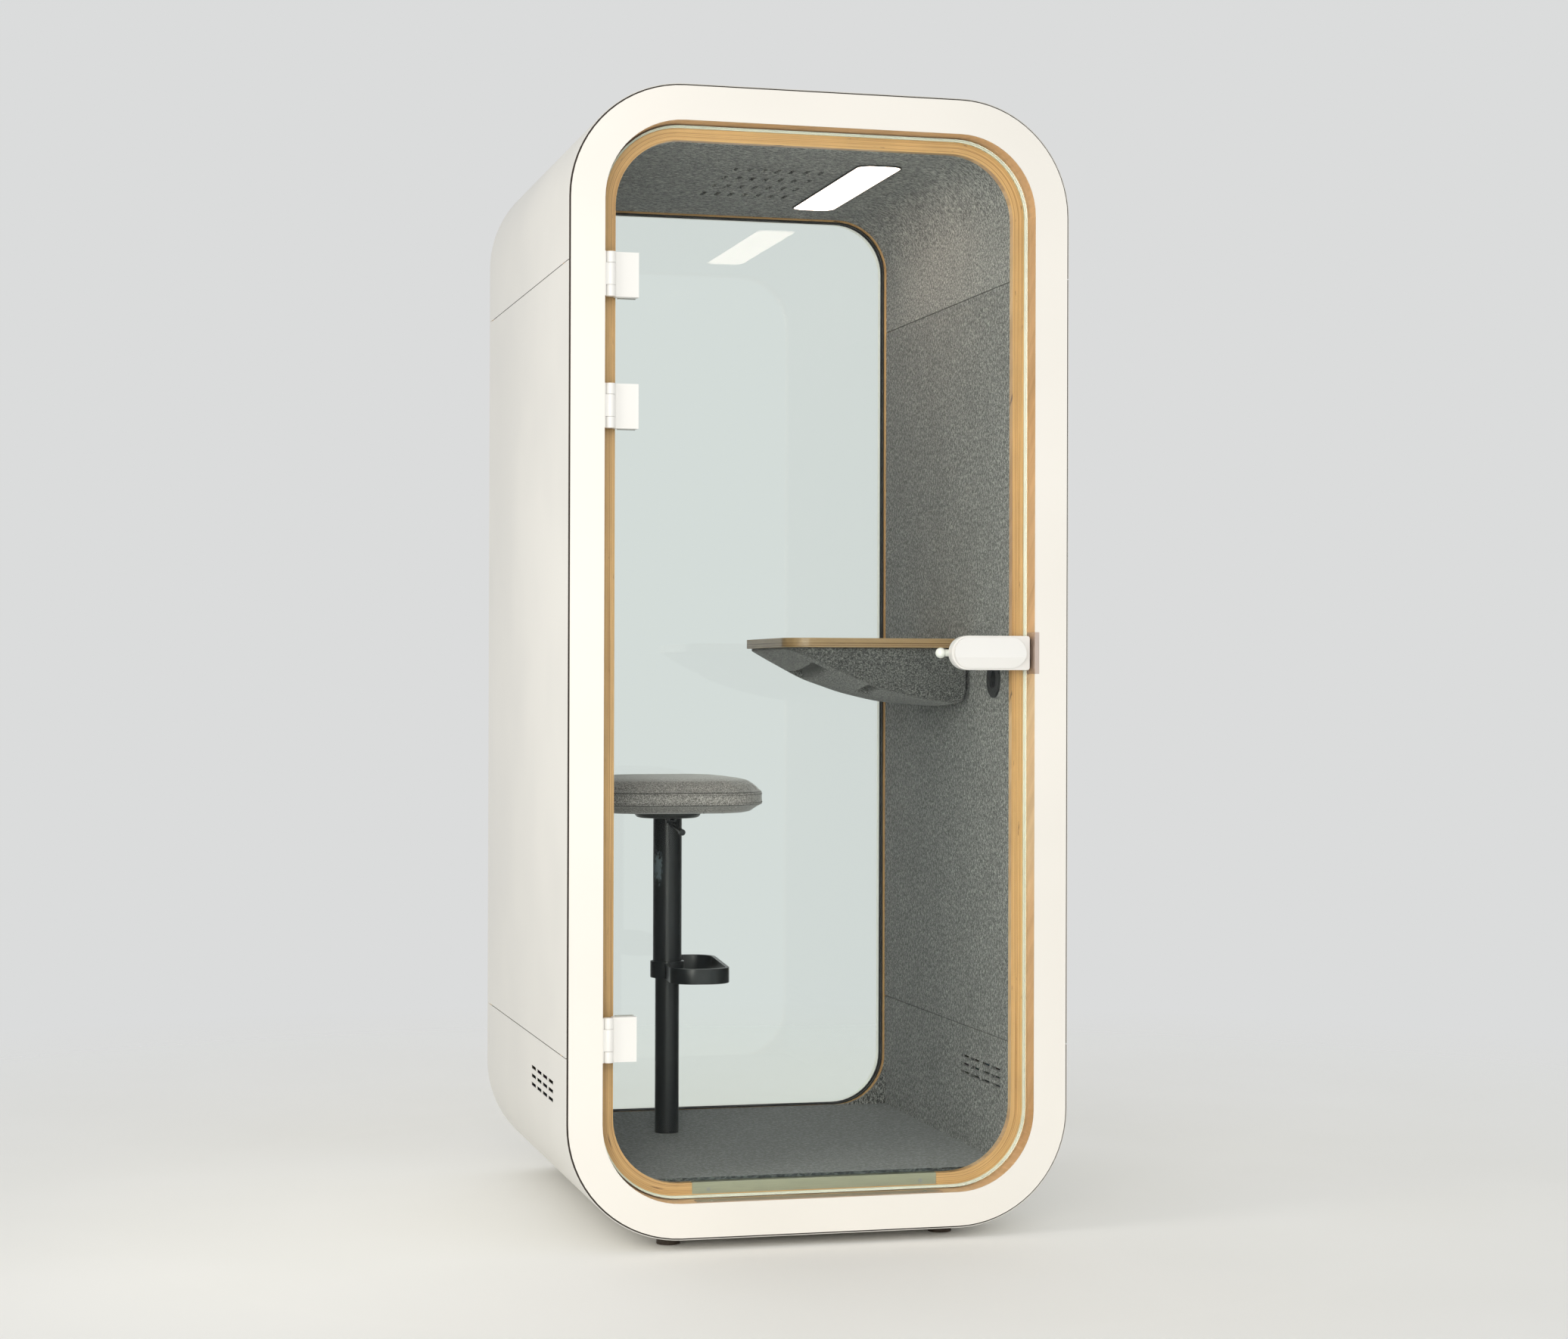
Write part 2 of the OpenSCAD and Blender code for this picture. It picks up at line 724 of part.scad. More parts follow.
module carpet() color("slategray") difference() {
    box([-room_w / 2 + soft_gap, room_front + soft_gap, board_top],
        [room_w / 2 - soft_gap, room_back - soft_gap, carpet_top]);
    translate([post[0], post[1], board_top - over])
        cylinder(r = column_r + soft_gap, h = carpet_t + 2 * over);
    for (sx = [-1, 1]) translate([sx * room_w / 2, lining_back - felt_t / 2, board_top + carpet_t / 2])
        cube([2 * (corner_felt_r + soft_gap), felt_t + 2 * over, carpet_t + 2 * over], center = true);
}

// ---- Rear window ----

module rear_frame() color("goldenrod") {
    frame_ring(room_back, room_back + rear_lip_t, [core_w, core_h, core_r],
        [rear_open_w, rear_open_h, rear_open_r], rear_mid_z);
    frame_ring(room_back + rear_lip_t, rear_bead_y0, [core_w, core_h, core_r],
        [rear_open_w + 2 * rear_pocket, rear_open_h + 2 * rear_pocket, rear_open_r + rear_pocket],
        rear_mid_z);
}

module rear_gasket() color("black") for (y0 = [room_back + rear_lip_t, rear_glass_y1])
    upright(y0, y0 + gasket_t, rear_mid_z) difference() {
        rounded(rear_open_w + 2 * rear_pocket, rear_open_h + 2 * rear_pocket,
            rear_open_r + rear_pocket);
        rounded(rear_open_w - 2 * gasket_lip, rear_open_h - 2 * gasket_lip,
            rear_open_r - gasket_lip);
    }

module rear_glass() color("lightcyan", 0.4) upright(rear_glass_y0, rear_glass_y1, rear_mid_z)
    rounded(rear_open_w + 2 * rear_pocket - 2, rear_open_h + 2 * rear_pocket - 2,
        rear_open_r + rear_pocket - 1);

module rear_bead() color("white") {
    frame_ring(rear_bead_y0, skin_back, [core_w, core_h, core_r],
        [rear_open_w, rear_open_h, rear_open_r], rear_mid_z);
    frame_ring(skin_back, fy(cabin_d),
        [cabin_w - 2 * face_inset, cabin_h - 2 * face_inset, corner_r - face_inset],
        [rear_open_w, rear_open_h, rear_open_r], rear_mid_z);
}

// ---- Light, fans and outlet ----

module light_body(z0, z1, grow) translate([light_x, fy(light_y), z0]) linear_extrude(z1 - z0)
    rounded(light_w + 2 * grow, light_l + 2 * grow, light_r + grow);

module light_housing() color("dimgray") difference() {
    light_recess(0);
    light_body(room_ceiling - 2 * light_edge, room_ceiling + light_h / 2, 0);
}

module light_diffuser() color("lightyellow")
    light_body(room_ceiling - light_edge / 2, room_ceiling + light_h / 2, 0);

function fan_y(k) = fy(ceiling_vent_y) + k * fan_pitch / 2;
fan_axle_r = 3;
fan_blades = 7;
fan_base_t = 5;
fan_spoke_w = 6;
fan_blade_w = 22;
fan_blade_t = 2;
fan_blade_tilt = 35;
fan_bore_r = fan_w / 2 - 4;

module fan_frames() color("dimgray") for (k = [-1, 1])
    translate([ceiling_vent_x, fan_y(k), fan_z0]) {
        difference() {
            translate([-fan_w / 2, -fan_w / 2, 0]) cube([fan_w, fan_w, fan_h]);
            translate([0, 0, -over]) cylinder(r = fan_bore_r, h = fan_h + 2 * over);
        }
        difference() {
            union() {
                cylinder(r = fan_hub_r, h = fan_base_t);
                for (a = [45, 135]) rotate(a)
                    translate([-fan_bore_r - over, -fan_spoke_w / 2, 0])
                        cube([2 * (fan_bore_r + over), fan_spoke_w, fan_base_t]);
            }
            translate([0, 0, -over])
                cylinder(r = fan_axle_r + running_gap, h = fan_base_t + 2 * over);
        }
    }

module fan_impeller(y) color("black") translate([ceiling_vent_x, y, fan_z0]) {
    translate([0, 0, over / 2]) cylinder(r = fan_axle_r, h = fan_base_t + over);
    translate([0, 0, fan_base_t + free_gap]) cylinder(r = fan_hub_r, h = fan_h - fan_base_t - 2);
    intersection() {
        for (k = [0:fan_blades - 1]) rotate(k * 360 / fan_blades)
            translate([fan_hub_r - 3, 0, (fan_h + fan_base_t) / 2]) rotate([fan_blade_tilt, 0, 0])
                translate([0, -fan_blade_w / 2, -fan_blade_t / 2])
                    cube([fan_bore_r, fan_blade_w, fan_blade_t]);
        translate([0, 0, fan_base_t + free_gap])
            cylinder(r = fan_bore_r - fan_tip_gap, h = fan_h - fan_base_t - 2);
    }
}

module fan_impeller_front() fan_impeller(fan_y(-1));
module fan_impeller_rear() fan_impeller(fan_y(1));

outlet_depth = 40;
outlet_box_r = 30;
outlet_hole_r = 20;
socket_r = 17;
socket_depth = 10;
socket_sink = 2;
outlet_at = [fy(outlet_y), bz(outlet_z)];

module outlet_bore(x0, x1) rod_x(outlet_box_r, x0, x1, outlet_at);

module outlet_plate() color("black") difference() {
    rod_x(outlet_r, room_w / 2 - outlet_t, room_w / 2, outlet_at);
    rod_x(outlet_hole_r, room_w / 2 - outlet_t - over, room_w / 2 + over, outlet_at);
}

// The round socket insert and its wall box behind the plate
module outlet_socket() color("darkslategray") difference() {
    union() {
        rod_x(outlet_hole_r, room_w / 2 - outlet_t + socket_sink, room_w / 2, outlet_at);
        rod_x(outlet_box_r, room_w / 2, felt_w / 2 + outlet_depth, outlet_at);
    }
    rod_x(socket_r, room_w / 2 - outlet_t, room_w / 2 + socket_depth, outlet_at);
}

// ---- Table ----

module table_outline(inset) {
    x0 = table_x0 + inset;
    r = table_r;
    for (y = [table_y0 + inset + r, table_y1 - inset - r]) translate([x0 + r, y]) circle(r = r);
    translate([x0 + r, table_y0 + inset])
        square([room_w / 2 - soft_gap - x0 - r, table_w - 2 * inset]);
    translate([x0, table_y0 + inset + r]) square([r, table_w - 2 * inset - 2 * r]);
}

module table_top() color("wheat")
    translate([0, 0, table_bottom_z]) linear_extrude(table_t) table_outline(0);

// Depth of the tray under the table at a share u of the way out from the wall
function tray_depth(u, full) = full * pow(1 - pow(u, 2.1), 0.62);
// Side view of the tray, deep at the wall and thin at the free end
module tray_side(x0, x1, full)
    polygon(concat([[x1, 0], [x0, 0]],
        [for (k = [tray_steps:-1:0]) let (u = k / tray_steps)
            [x1 - u * (x1 - x0), -tray_lip * (k == 0 ? 0 : 1) * 0.5 - tray_depth(u, full - tray_lip / 2)]]));

module tray_solid(grow) hull() {
    top = table_bottom_z - soft_gap;
    upright(table_y0 + tray_keel[1], table_y1 - tray_keel[1], top)
        tray_side(tray_x0 - grow + tray_keel[0], tray_x1, tray_h - soft_gap + grow);
    upright(table_y0 + tray_belly[1] - grow, table_y1 - tray_belly[1] + grow, top)
        tray_side(tray_x0 - grow + tray_belly[0], tray_x1, (tray_h + grow) * tray_belly_share);
    translate([0, 0, top - tray_lip]) linear_extrude(tray_lip)
        intersection() {
            table_outline(tray_margin - grow);
            translate([tray_x0 - grow, table_y0]) square([tray_x1 - tray_x0 + grow, table_w]);
        }
}

module table_tray() color("dimgray") difference() {
    tray_solid(0);
    translate([0, 0, over]) tray_solid(-tray_t);
}

// Steel wall plate with two arms that carry the table top
module table_bracket() color("dimgray") {
    box([room_w / 2 - bracket_t, table_y0 + bracket_inset, table_bottom_z - tray_h + bracket_low],
        [room_w / 2, table_y1 - bracket_inset, table_bottom_z]);
    for (y = [table_y0 + arm_inset, table_y1 - arm_inset - arm_w])
        box([table_x0 + arm_short, y, table_bottom_z - bracket_t],
            [room_w / 2 - bracket_t, y + arm_w, table_bottom_z]);
}

// ---- Stool ----

module at_post(z) translate([post[0], post[1], z]) children();

module tube(r_out, r_in, h) difference() {
    cylinder(r = r_out, h = h);
    translate([0, 0, -over]) cylinder(r = r_in, h = h + 2 * over);
}

module stool_column() color("black") {
    at_post(board_bottom) tube(column_r, column_r - column_t, column_top - board_bottom);
    at_post(board_bottom - base_t) cylinder(r = base_r, h = base_t);
    at_post(column_top - bush_h) tube(column_r - column_t, gas_r, bush_h);
}

module gas_cylinder() color("dimgray") difference() {
    at_post(board_bottom) cylinder(r = gas_r, h = column_top - board_bottom);
    at_post(board_bottom + gas_wall)
        cylinder(r = gas_r - gas_wall, h = column_top - board_bottom - 2 * gas_wall);
    at_post(board_bottom) cylinder(r = rod_r + running_gap, h = cabin_h);
    at_post(board_bottom - over) cylinder(r = gas_wall, h = gas_wall + over);
}

module stool_sleeve() color("black")
    at_post(sleeve_bottom) tube(sleeve_r, sleeve_in, sleeve_top - sleeve_bottom);

// Two slide bushes round the column and the swivel bush under the seat
module stool_bushes() color("gray") {
    at_post(sleeve_bottom) tube(sleeve_in, column_r + running_gap, bush_h);
    at_post(column_top - seat_up - bush_h - 4) tube(sleeve_in, column_r + running_gap, bush_h);
    at_post(sleeve_top - swivel_h) tube(sleeve_in, swivel_r + running_gap, swivel_h);
}

module footrest() color("black") at_post(sleeve_bottom) difference() {
    union() {
        rotate(footrest_turn) translate([footrest_w / 2 - footrest_t, 0, 0])
            linear_extrude(footrest_h) difference() {
                rounded(footrest_w, footrest_l, footrest_r);
                rounded(footrest_w - 2 * footrest_t, footrest_l - 2 * footrest_t,
                    footrest_r - footrest_t);
            }
        cylinder(r = sleeve_r + collar_t, h = collar_h);
    }
    translate([0, 0, -over]) cylinder(r = sleeve_r, h = collar_h + 2 * over);
}

module gas_rod() color("silver") {
    at_post(piston_z) cylinder(r = rod_r, h = rod_top - piston_z);
    at_post(rod_top - rod_disc_t) cylinder(r = sleeve_in, h = rod_disc_t);
    at_post(piston_z) cylinder(r = gas_r - gas_wall - running_gap, h = piston_h);
}

lever_pivot = [lever_eye_y, plate_bottom - lever_eye_r - 1];

module seat_plate() color("black") {
    at_post(plate_bottom) cylinder(r = seat_plate_r, h = seat_plate_t);
    at_post(sleeve_top - swivel_h) cylinder(r = swivel_r, h = swivel_h + 3);
    for (s = [-1, 1])
        translate([post[0] + s * (lever_eye_w / 2 + free_gap + ear_t / 2), lever_eye_y,
            lever_pivot[1]]) {
            translate([-ear_t / 2, -lever_eye_r, 0]) cube([ear_t, 2 * lever_eye_r, lever_eye_r + 2]);
            rotate([0, 90, 0]) cylinder(r = lever_eye_r, h = ear_t, center = true);
        }
    rod_x(lever_pin_r, post[0] - lever_eye_w / 2 - ear_t, post[0] + lever_eye_w / 2 + ear_t,
        lever_pivot);
}

module seat_board() color("burlywood") at_post(seat_bottom) linear_extrude(seat_board_t)
    rounded(seat_board_w, seat_board_d, seat_board_r);

// The upholstered pad: a stitched side band with a domed top and a tucked underside
module seat_cushion() color("gray") difference() {
    hull() for (layer = SEAT_LAYERS)
        at_post(layer[0]) linear_extrude(layer[1])
            rounded(seat_w - layer[2], seat_d - layer[2], seat_r - layer[3], $fn = 32);
    at_post(seat_bottom - over) linear_extrude(seat_board_t + over + soft_gap)
        rounded(seat_board_w + 2 * soft_gap, seat_board_d + 2 * soft_gap, seat_board_r + soft_gap);
}

module seat_lever() color("black") translate([post[0], lever_pivot[0], lever_pivot[1]])
    rotate([lever_tilt, 0, 0]) difference() {
        union() {
            rod_x(lever_eye_r, -lever_eye_w / 2, lever_eye_w / 2, [0, 0]);
            translate([0, 0, -lever_drop]) cylinder(r = lever_rod_r, h = lever_drop - 2);
            translate([0, 0, -lever_drop]) sphere(r = lever_rod_r);
            rod_y(lever_rod_r, -lever_l, 0, [0, -lever_drop]);
            rod_y(lever_tip_r, -lever_l - lever_rod_r, lever_tip_l - lever_l, [0, -lever_drop]);
        }
        rod_x(lever_pin_r + running_gap, -lever_eye_w, lever_eye_w, [0, 0]);
    }

// ---- Door ----

module clamp_bolts_at(z, r, y0, y1) for (s = [-1, 1])
    rod_y(r, y0, y1, [clamp_bolt_x, z + s * clamp_bolt_dz]);

module door_glass() color("lightcyan", 0.4) difference() {
    upright(glass_front, glass_back, mid_z) rounded(door_w, door_h, door_r);
    for (z = hinge_z) clamp_bolts_at(bz(z), clamp_bolt_r + 1, glass_front - over, glass_back + over);
    box([case_x0 - free_gap, glass_front - over, bz(handle_z) - case_h / 2 - free_gap],
        [jamb_x, glass_back + over, bz(handle_z) + case_h / 2 + free_gap]);
}

module knuckle(z, h) translate([hinge_pos[0], hinge_pos[1], z]) cylinder(r = knuckle_r, h = h);

module hinge_frame_leaves() color("white") for (z = hinge_z) difference() {
    zc = bz(z);
    union() {
        box([-jamb_x, fy(2), zc - hinge_h / 2], [-jamb_x + leaf_t, glass_front - 2, zc + hinge_h / 2]);
        box([-jamb_x, hinge_pos[1] - knuckle_neck / 2, zc - mid_knuckle_h / 2],
            [hinge_pos[0], hinge_pos[1] + knuckle_neck / 2, zc + mid_knuckle_h / 2]);
        knuckle(zc - mid_knuckle_h / 2, mid_knuckle_h);
    }
    translate([hinge_pos[0], hinge_pos[1], zc - hinge_h]) cylinder(r = pin_r, h = 2 * hinge_h);
}

module hinge_pins() color("silver") for (z = hinge_z)
    translate([hinge_pos[0], hinge_pos[1], bz(z) - hinge_h / 2 + 2]) cylinder(r = pin_r, h = hinge_h - 4);

// White blocks on the glass with an upper and a lower knuckle
module hinge_glass_leaves() color("white") for (z = hinge_z) difference() {
    zc = bz(z);
    end_h = (hinge_h - mid_knuckle_h) / 2 - free_gap;
    union() {
        box([plate_x0, clamp_front, zc - hinge_h / 2], [plate_x0 + clamp_w, glass_front, zc + hinge_h / 2]);
        for (z0 = [zc - hinge_h / 2, zc + hinge_h / 2 - end_h]) {
            knuckle(z0, end_h);
            box([hinge_pos[0], clamp_front, z0], [plate_x0 + over, hinge_pos[1] + knuckle_r, z0 + end_h]);
        }
        clamp_bolts_at(zc, clamp_bolt_r, glass_front - over, glass_back);
    }
    translate([hinge_pos[0], hinge_pos[1], zc - hinge_h])
        cylinder(r = pin_r + running_gap, h = 2 * hinge_h);
}

module hinge_clamps() color("white") for (z = hinge_z)
    box([clamp_x0, glass_back, bz(z) - hinge_h / 2],
        [plate_x0 + clamp_w, glass_back + clamp_t, bz(z) + hinge_h / 2]);

// Outline of the handle: a full round on the left and small corners on the right
module handle_outline(x0, x1, h, corner) {
    translate([x0 + h / 2, 0]) circle(r = h / 2);
    translate([x0 + h / 2, -h / 2]) square([x1 - x0 - h / 2 - corner, h]);
    translate([x1 - corner - over, corner - h / 2]) square([corner + over, h - 2 * corner]);
    for (s = [-1, 1]) translate([x1 - corner, s * (h / 2 - corner)]) circle(r = corner);
}

module spindle_bore() rod_y(spindle_r + running_gap, lever_front, inner_bar_y + 20, spindle_pos);

module handle_outer() color("white") difference() {
    upright(handle_front, glass_front, bz(handle_z))
        handle_outline(handle_x0, handle_x1, handle_h, handle_corner);
    spindle_bore();
}

module handle_inner() color("white") difference() {
    upright(glass_back, inner_housing_back, bz(handle_z))
        handle_outline(inner_housing_x0, inner_housing_x1, handle_h, handle_corner);
    spindle_bore();
}

module latch_case() color("silver") difference() {
    box([case_x0, glass_front, bz(handle_z) - case_h / 2], [case_x1, glass_back, bz(handle_z) + case_h / 2]);
    spindle_bore();
    z = bz(handle_z);
    box([bolt_x0 - bolt_throw - over, bolt_y - bolt_t / 2 - running_gap, z - bolt_h / 2 - running_gap],
        [case_x1 + over, bolt_y + bolt_t / 2 + running_gap, z + bolt_h / 2 + running_gap]);
}

// A flat lever with a ridge along its face, and the spindle that joins it to the inner lever
module lever_outer() color("white") {
    z = bz(handle_z);
    x0 = handle_x0 + 3 + lever_r;
    intersection() {
        upright(lever_front, lever_back, z) {
            translate([x0, 0]) circle(r = lever_r);
            translate([spindle_pos[0], 0]) circle(r = lever_r);
            translate([x0, -lever_r]) square([spindle_pos[0] - x0, 2 * lever_r]);
        }
        translate([handle_x0, 0, z]) rotate([90, 0, 90]) linear_extrude(handle_l)
            polygon([[lever_back, -lever_r - over], [lever_back, lever_r + over],
                [lever_front + lever_top_slope, lever_r + over], [lever_front, -lever_ridge_drop],
                [lever_front + lever_low_slope, -lever_r - over]]);
    }
    rod_y(spindle_r, lever_back - over, inner_housing_back + spindle_end, spindle_pos);
}

module lever_inner() color("white") difference() {
    knob_x = handle_x0 - knob_out;
    union() {
        rod_y(lever_hub_r, inner_housing_back + free_gap, inner_bar_y + inner_bar_r, spindle_pos);
        rod_x(inner_bar_r, knob_x, spindle_pos[0], [inner_bar_y, spindle_pos[1]]);
        translate([knob_x, inner_bar_y, spindle_pos[1]]) sphere(r = knob_r);
    }
    rod_y(spindle_r, glass_back, inner_housing_back + spindle_end, spindle_pos);
}

module latch_bolt() color("silver")
    box([bolt_x0, bolt_y - bolt_t / 2, bz(handle_z) - bolt_h / 2],
        [bolt_x1, bolt_y + bolt_t / 2, bz(handle_z) + bolt_h / 2]);

// ---- Feet ----

foot_screw_l = 26;

module at_feet() for (sx = [-1, 1], y = [fy(foot_y), fy(cabin_d - foot_y)])
    translate([sx * foot_x + foot_shift, y, 0]) children();

module foot_bores() at_feet() translate([0, 0, pad_t])
    cylinder(r = foot_screw_r, h = foot_h - pad_t + foot_screw_l);

module levelling_feet() color("black") at_feet() {
    cylinder(r = pad_r, h = pad_t);
    cylinder(r = foot_screw_r, h = foot_h + foot_screw_l);
}

front_ring();
ring_face();
inner_frame();
door_seal();
strike_plate();
threshold_inner();
threshold_outer();
threshold_screws();
roof_skin();
left_skin();
right_skin();
base_pan();
left_core();
right_core();
roof_core();
base_core();
lining_top();
lining_left();
lining_right();
lining_left_low();
lining_right_low();
rear_corner_felt();
floor_board();
carpet();
rear_frame();
rear_gasket();
rear_glass();
rear_bead();
light_housing();
light_diffuser();
fan_frames();
fan_impeller_front();
fan_impeller_rear();
outlet_plate();
outlet_socket();
table_top();
table_tray();
table_bracket();
stool_column();
gas_cylinder();
stool_sleeve();
stool_bushes();
footrest();
gas_rod();
seat_plate();
seat_board();
seat_cushion();
seat_lever();
door_glass();
hinge_frame_leaves();
hinge_pins();
hinge_glass_leaves();
hinge_clamps();
handle_outer();
handle_inner();
latch_case();
lever_outer();
lever_inner();
latch_bolt();
levelling_feet();
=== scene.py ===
"""One-person acoustic phone booth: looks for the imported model."""
import math

import bmesh
import bpy
from mathutils import Matrix, Vector
from mathutils.bvhtree import BVHTree


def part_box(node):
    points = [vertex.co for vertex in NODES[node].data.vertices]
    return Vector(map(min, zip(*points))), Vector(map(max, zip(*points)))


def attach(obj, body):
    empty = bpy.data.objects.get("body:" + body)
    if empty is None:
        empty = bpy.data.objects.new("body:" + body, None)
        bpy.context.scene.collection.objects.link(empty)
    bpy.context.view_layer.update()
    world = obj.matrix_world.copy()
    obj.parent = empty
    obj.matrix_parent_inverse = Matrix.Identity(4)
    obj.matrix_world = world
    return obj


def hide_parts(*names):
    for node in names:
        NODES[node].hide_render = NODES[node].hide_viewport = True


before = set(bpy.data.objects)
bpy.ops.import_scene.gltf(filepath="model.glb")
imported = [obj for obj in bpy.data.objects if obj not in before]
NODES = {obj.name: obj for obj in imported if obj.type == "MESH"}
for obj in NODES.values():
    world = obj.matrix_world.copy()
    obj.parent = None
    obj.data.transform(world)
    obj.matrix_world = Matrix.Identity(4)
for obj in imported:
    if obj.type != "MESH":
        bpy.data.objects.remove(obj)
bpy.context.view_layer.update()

# ---------------------------------------------------------------- sizes, in metres


def middle_of(node):
    low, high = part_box(node)
    return (low + high) / 2


DOORWAY_LOW, DOORWAY_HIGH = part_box("door_seal")
DOORWAY_R = 0.155
DOORWAY_MIDDLE = middle_of("front_ring").z
# past this distance from the doorway the ring's plywood is painted dark, as painted shade for its shadow gap
RING_EDGE = 0.040
SEAL_EDGE = 0.0035

SEAT_LOW, SEAT_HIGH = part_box("seat_cushion")
SEAT_MIDDLE = middle_of("seat_cushion")
SEAT_HALF = (SEAT_HIGH.x - SEAT_LOW.x) / 2
SEAT_R = 0.130
SEAT_SEAMS = (0.016, 0.042)
SEAT_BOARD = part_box("seat_board")

TRAY_LOW, TRAY_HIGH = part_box("table_tray")
TRAY_CORNER_R = 0.047

# ---------------------------------------------------------------- view

CAMERA_AT = Vector((-1.4507, -5.8598, 1.0815))
CAMERA_YAW = math.radians(14.358)
CAMERA_PITCH = math.radians(0.271)
CAMERA_ROLL = math.radians(0.161)
LENS_MM = 66.15
SENSOR_MM = 36.0


def make_camera():
    """A camera well in front of the door and left of it, at about chest height."""
    data = bpy.data.cameras.new("view_camera")
    data.lens = LENS_MM
    data.sensor_width = SENSOR_MM
    data.sensor_fit = "HORIZONTAL"
    cam = bpy.data.objects.new("view_camera", data)
    bpy.context.scene.collection.objects.link(cam)
    flat = math.cos(CAMERA_PITCH)
    ahead = Vector((math.sin(CAMERA_YAW) * flat, math.cos(CAMERA_YAW) * flat, math.sin(CAMERA_PITCH)))
    right = Vector((math.cos(CAMERA_YAW), -math.sin(CAMERA_YAW), 0.0))
    up = right.cross(ahead)
    right, up = (
        right * math.cos(CAMERA_ROLL) + up * math.sin(CAMERA_ROLL),
        up * math.cos(CAMERA_ROLL) - right * math.sin(CAMERA_ROLL),
    )
    turn = Matrix((right, up, -ahead)).transposed().to_4x4()
    cam.matrix_world = Matrix.Translation(CAMERA_AT) @ turn
    bpy.context.scene.camera = cam


def make_lamp(name, place, target, size, power, colour, spread=180.0):
    """A soft area lamp aimed at a point."""
    data = bpy.data.lights.new(name, "AREA")
    data.shape = "RECTANGLE"
    data.size, data.size_y = size
    data.energy = power
    data.color = colour
    data.spread = math.radians(spread)
    lamp = bpy.data.objects.new(name, data)
    bpy.context.scene.collection.objects.link(lamp)
    lamp.location = place
    lamp.visible_camera = False
    lamp.rotation_euler = (Vector(target) - Vector(place)).to_track_quat("-Z", "Y").to_euler()


# ---------------------------------------------------------------- shader helper


def rgb(r, g, b):
    """A colour given as it looks on screen, 0 to 255, as linear values."""
    out = []
    for v in (r, g, b):
        v /= 255
        out.append(v / 12.92 if v <= 0.04045 else ((v + 0.055) / 1.055) ** 2.4)
    return (*out, 1.0)


class Finish:
    """A material and the short calls that wire its nodes."""

    def __init__(self, name, roughness=0.5, **sockets):
        self.material = bpy.data.materials.new(name)
        self.material.use_nodes = True
        self.tree = self.material.node_tree
        self.shader = self.tree.nodes["Principled BSDF"]
        self.shader.inputs["Roughness"].default_value = roughness
        for key, value in sockets.items():
            self.shader.inputs[key.replace("_", " ")].default_value = value
        self.place = self.node("ShaderNodeTexCoord").outputs["Object"]

    def node(self, kind, links=None, **settings):
        made = self.tree.nodes.new(kind)
        for key, value in settings.items():
            setattr(made, key, value)
        for key, value in (links or {}).items():
            self.feed(made.inputs[key], value)
        return made

    def feed(self, socket, value):
        if isinstance(value, bpy.types.NodeSocket):
            self.tree.links.new(value, socket)
        else:
            socket.default_value = value

    def math(self, kind, a, b=0.0, c=0.0, clamp=False):
        made = self.node("ShaderNodeMath", operation=kind, use_clamp=clamp)
        for socket, value in zip(made.inputs, (a, b, c)):
            self.feed(socket, value)
        return made.outputs[0]

    def axis(self, name):
        """One coordinate of the place on the object, in metres."""
        return self.node("ShaderNodeSeparateXYZ", {0: self.place}).outputs[name]

    def vector(self, x=0.0, y=0.0, z=0.0):
        return self.node("ShaderNodeCombineXYZ", {0: x, 1: y, 2: z}).outputs[0]

    def stretched(self, x, y, z, source=None):
        """The place with each axis scaled, so that a pattern runs along one of them."""
        return self.node(
            "ShaderNodeVectorMath", {0: source or self.place, 1: (x, y, z)}, operation="MULTIPLY"
        ).outputs[0]

    def noise(self, place, scale=1.0, detail=3.0, roughness=0.55, warp=0.0):
        links = {"Vector": place, "Scale": scale, "Detail": detail, "Roughness": roughness}
        return self.node("ShaderNodeTexNoise", {**links, "Distortion": warp}).outputs["Fac"]

    def cells(self, place, scale=1.0, out="Distance"):
        return self.node("ShaderNodeTexVoronoi", {"Vector": place, "Scale": scale}).outputs[out]

    def ramp(self, fac, *stops):
        """Colours or grey values at places from 0 to 1."""
        made = self.node("ShaderNodeValToRGB", {0: fac})
        points = made.color_ramp.elements
        while len(points) < len(stops):
            points.new(0.5)
        for point, (at, value) in zip(points, stops):
            point.position = at
            point.color = value if isinstance(value, tuple) else (value, value, value, 1.0)
        return made.outputs[0]

    def blend(self, fac, a, b, kind="MIX"):
        made = self.node("ShaderNodeMix", data_type="RGBA", blend_type=kind)
        for socket, value in zip((made.inputs[0], made.inputs[6], made.inputs[7]), (fac, a, b)):
            self.feed(socket, value)
        return made.outputs[2]

    def bump(self, height, strength, depth):
        made = self.node("ShaderNodeBump", {"Height": height, "Strength": strength, "Distance": depth})
        if self.shader.inputs["Normal"].is_linked:
            self.feed(made.inputs["Normal"], self.shader.inputs["Normal"].links[0].from_socket)
        self.feed(self.shader.inputs["Normal"], made.outputs[0])

    def colour(self, value):
        self.feed(self.shader.inputs["Base Color"], value)

    def rough(self, value):
        self.feed(self.shader.inputs["Roughness"], value)


# ---------------------------------------------------------------- finishes

RIB_PITCH = 0.0062
DIODE_PITCH = 0.035
RUBBED_HEIGHT = 0.69
SCRATCHED_HEIGHT = 0.47


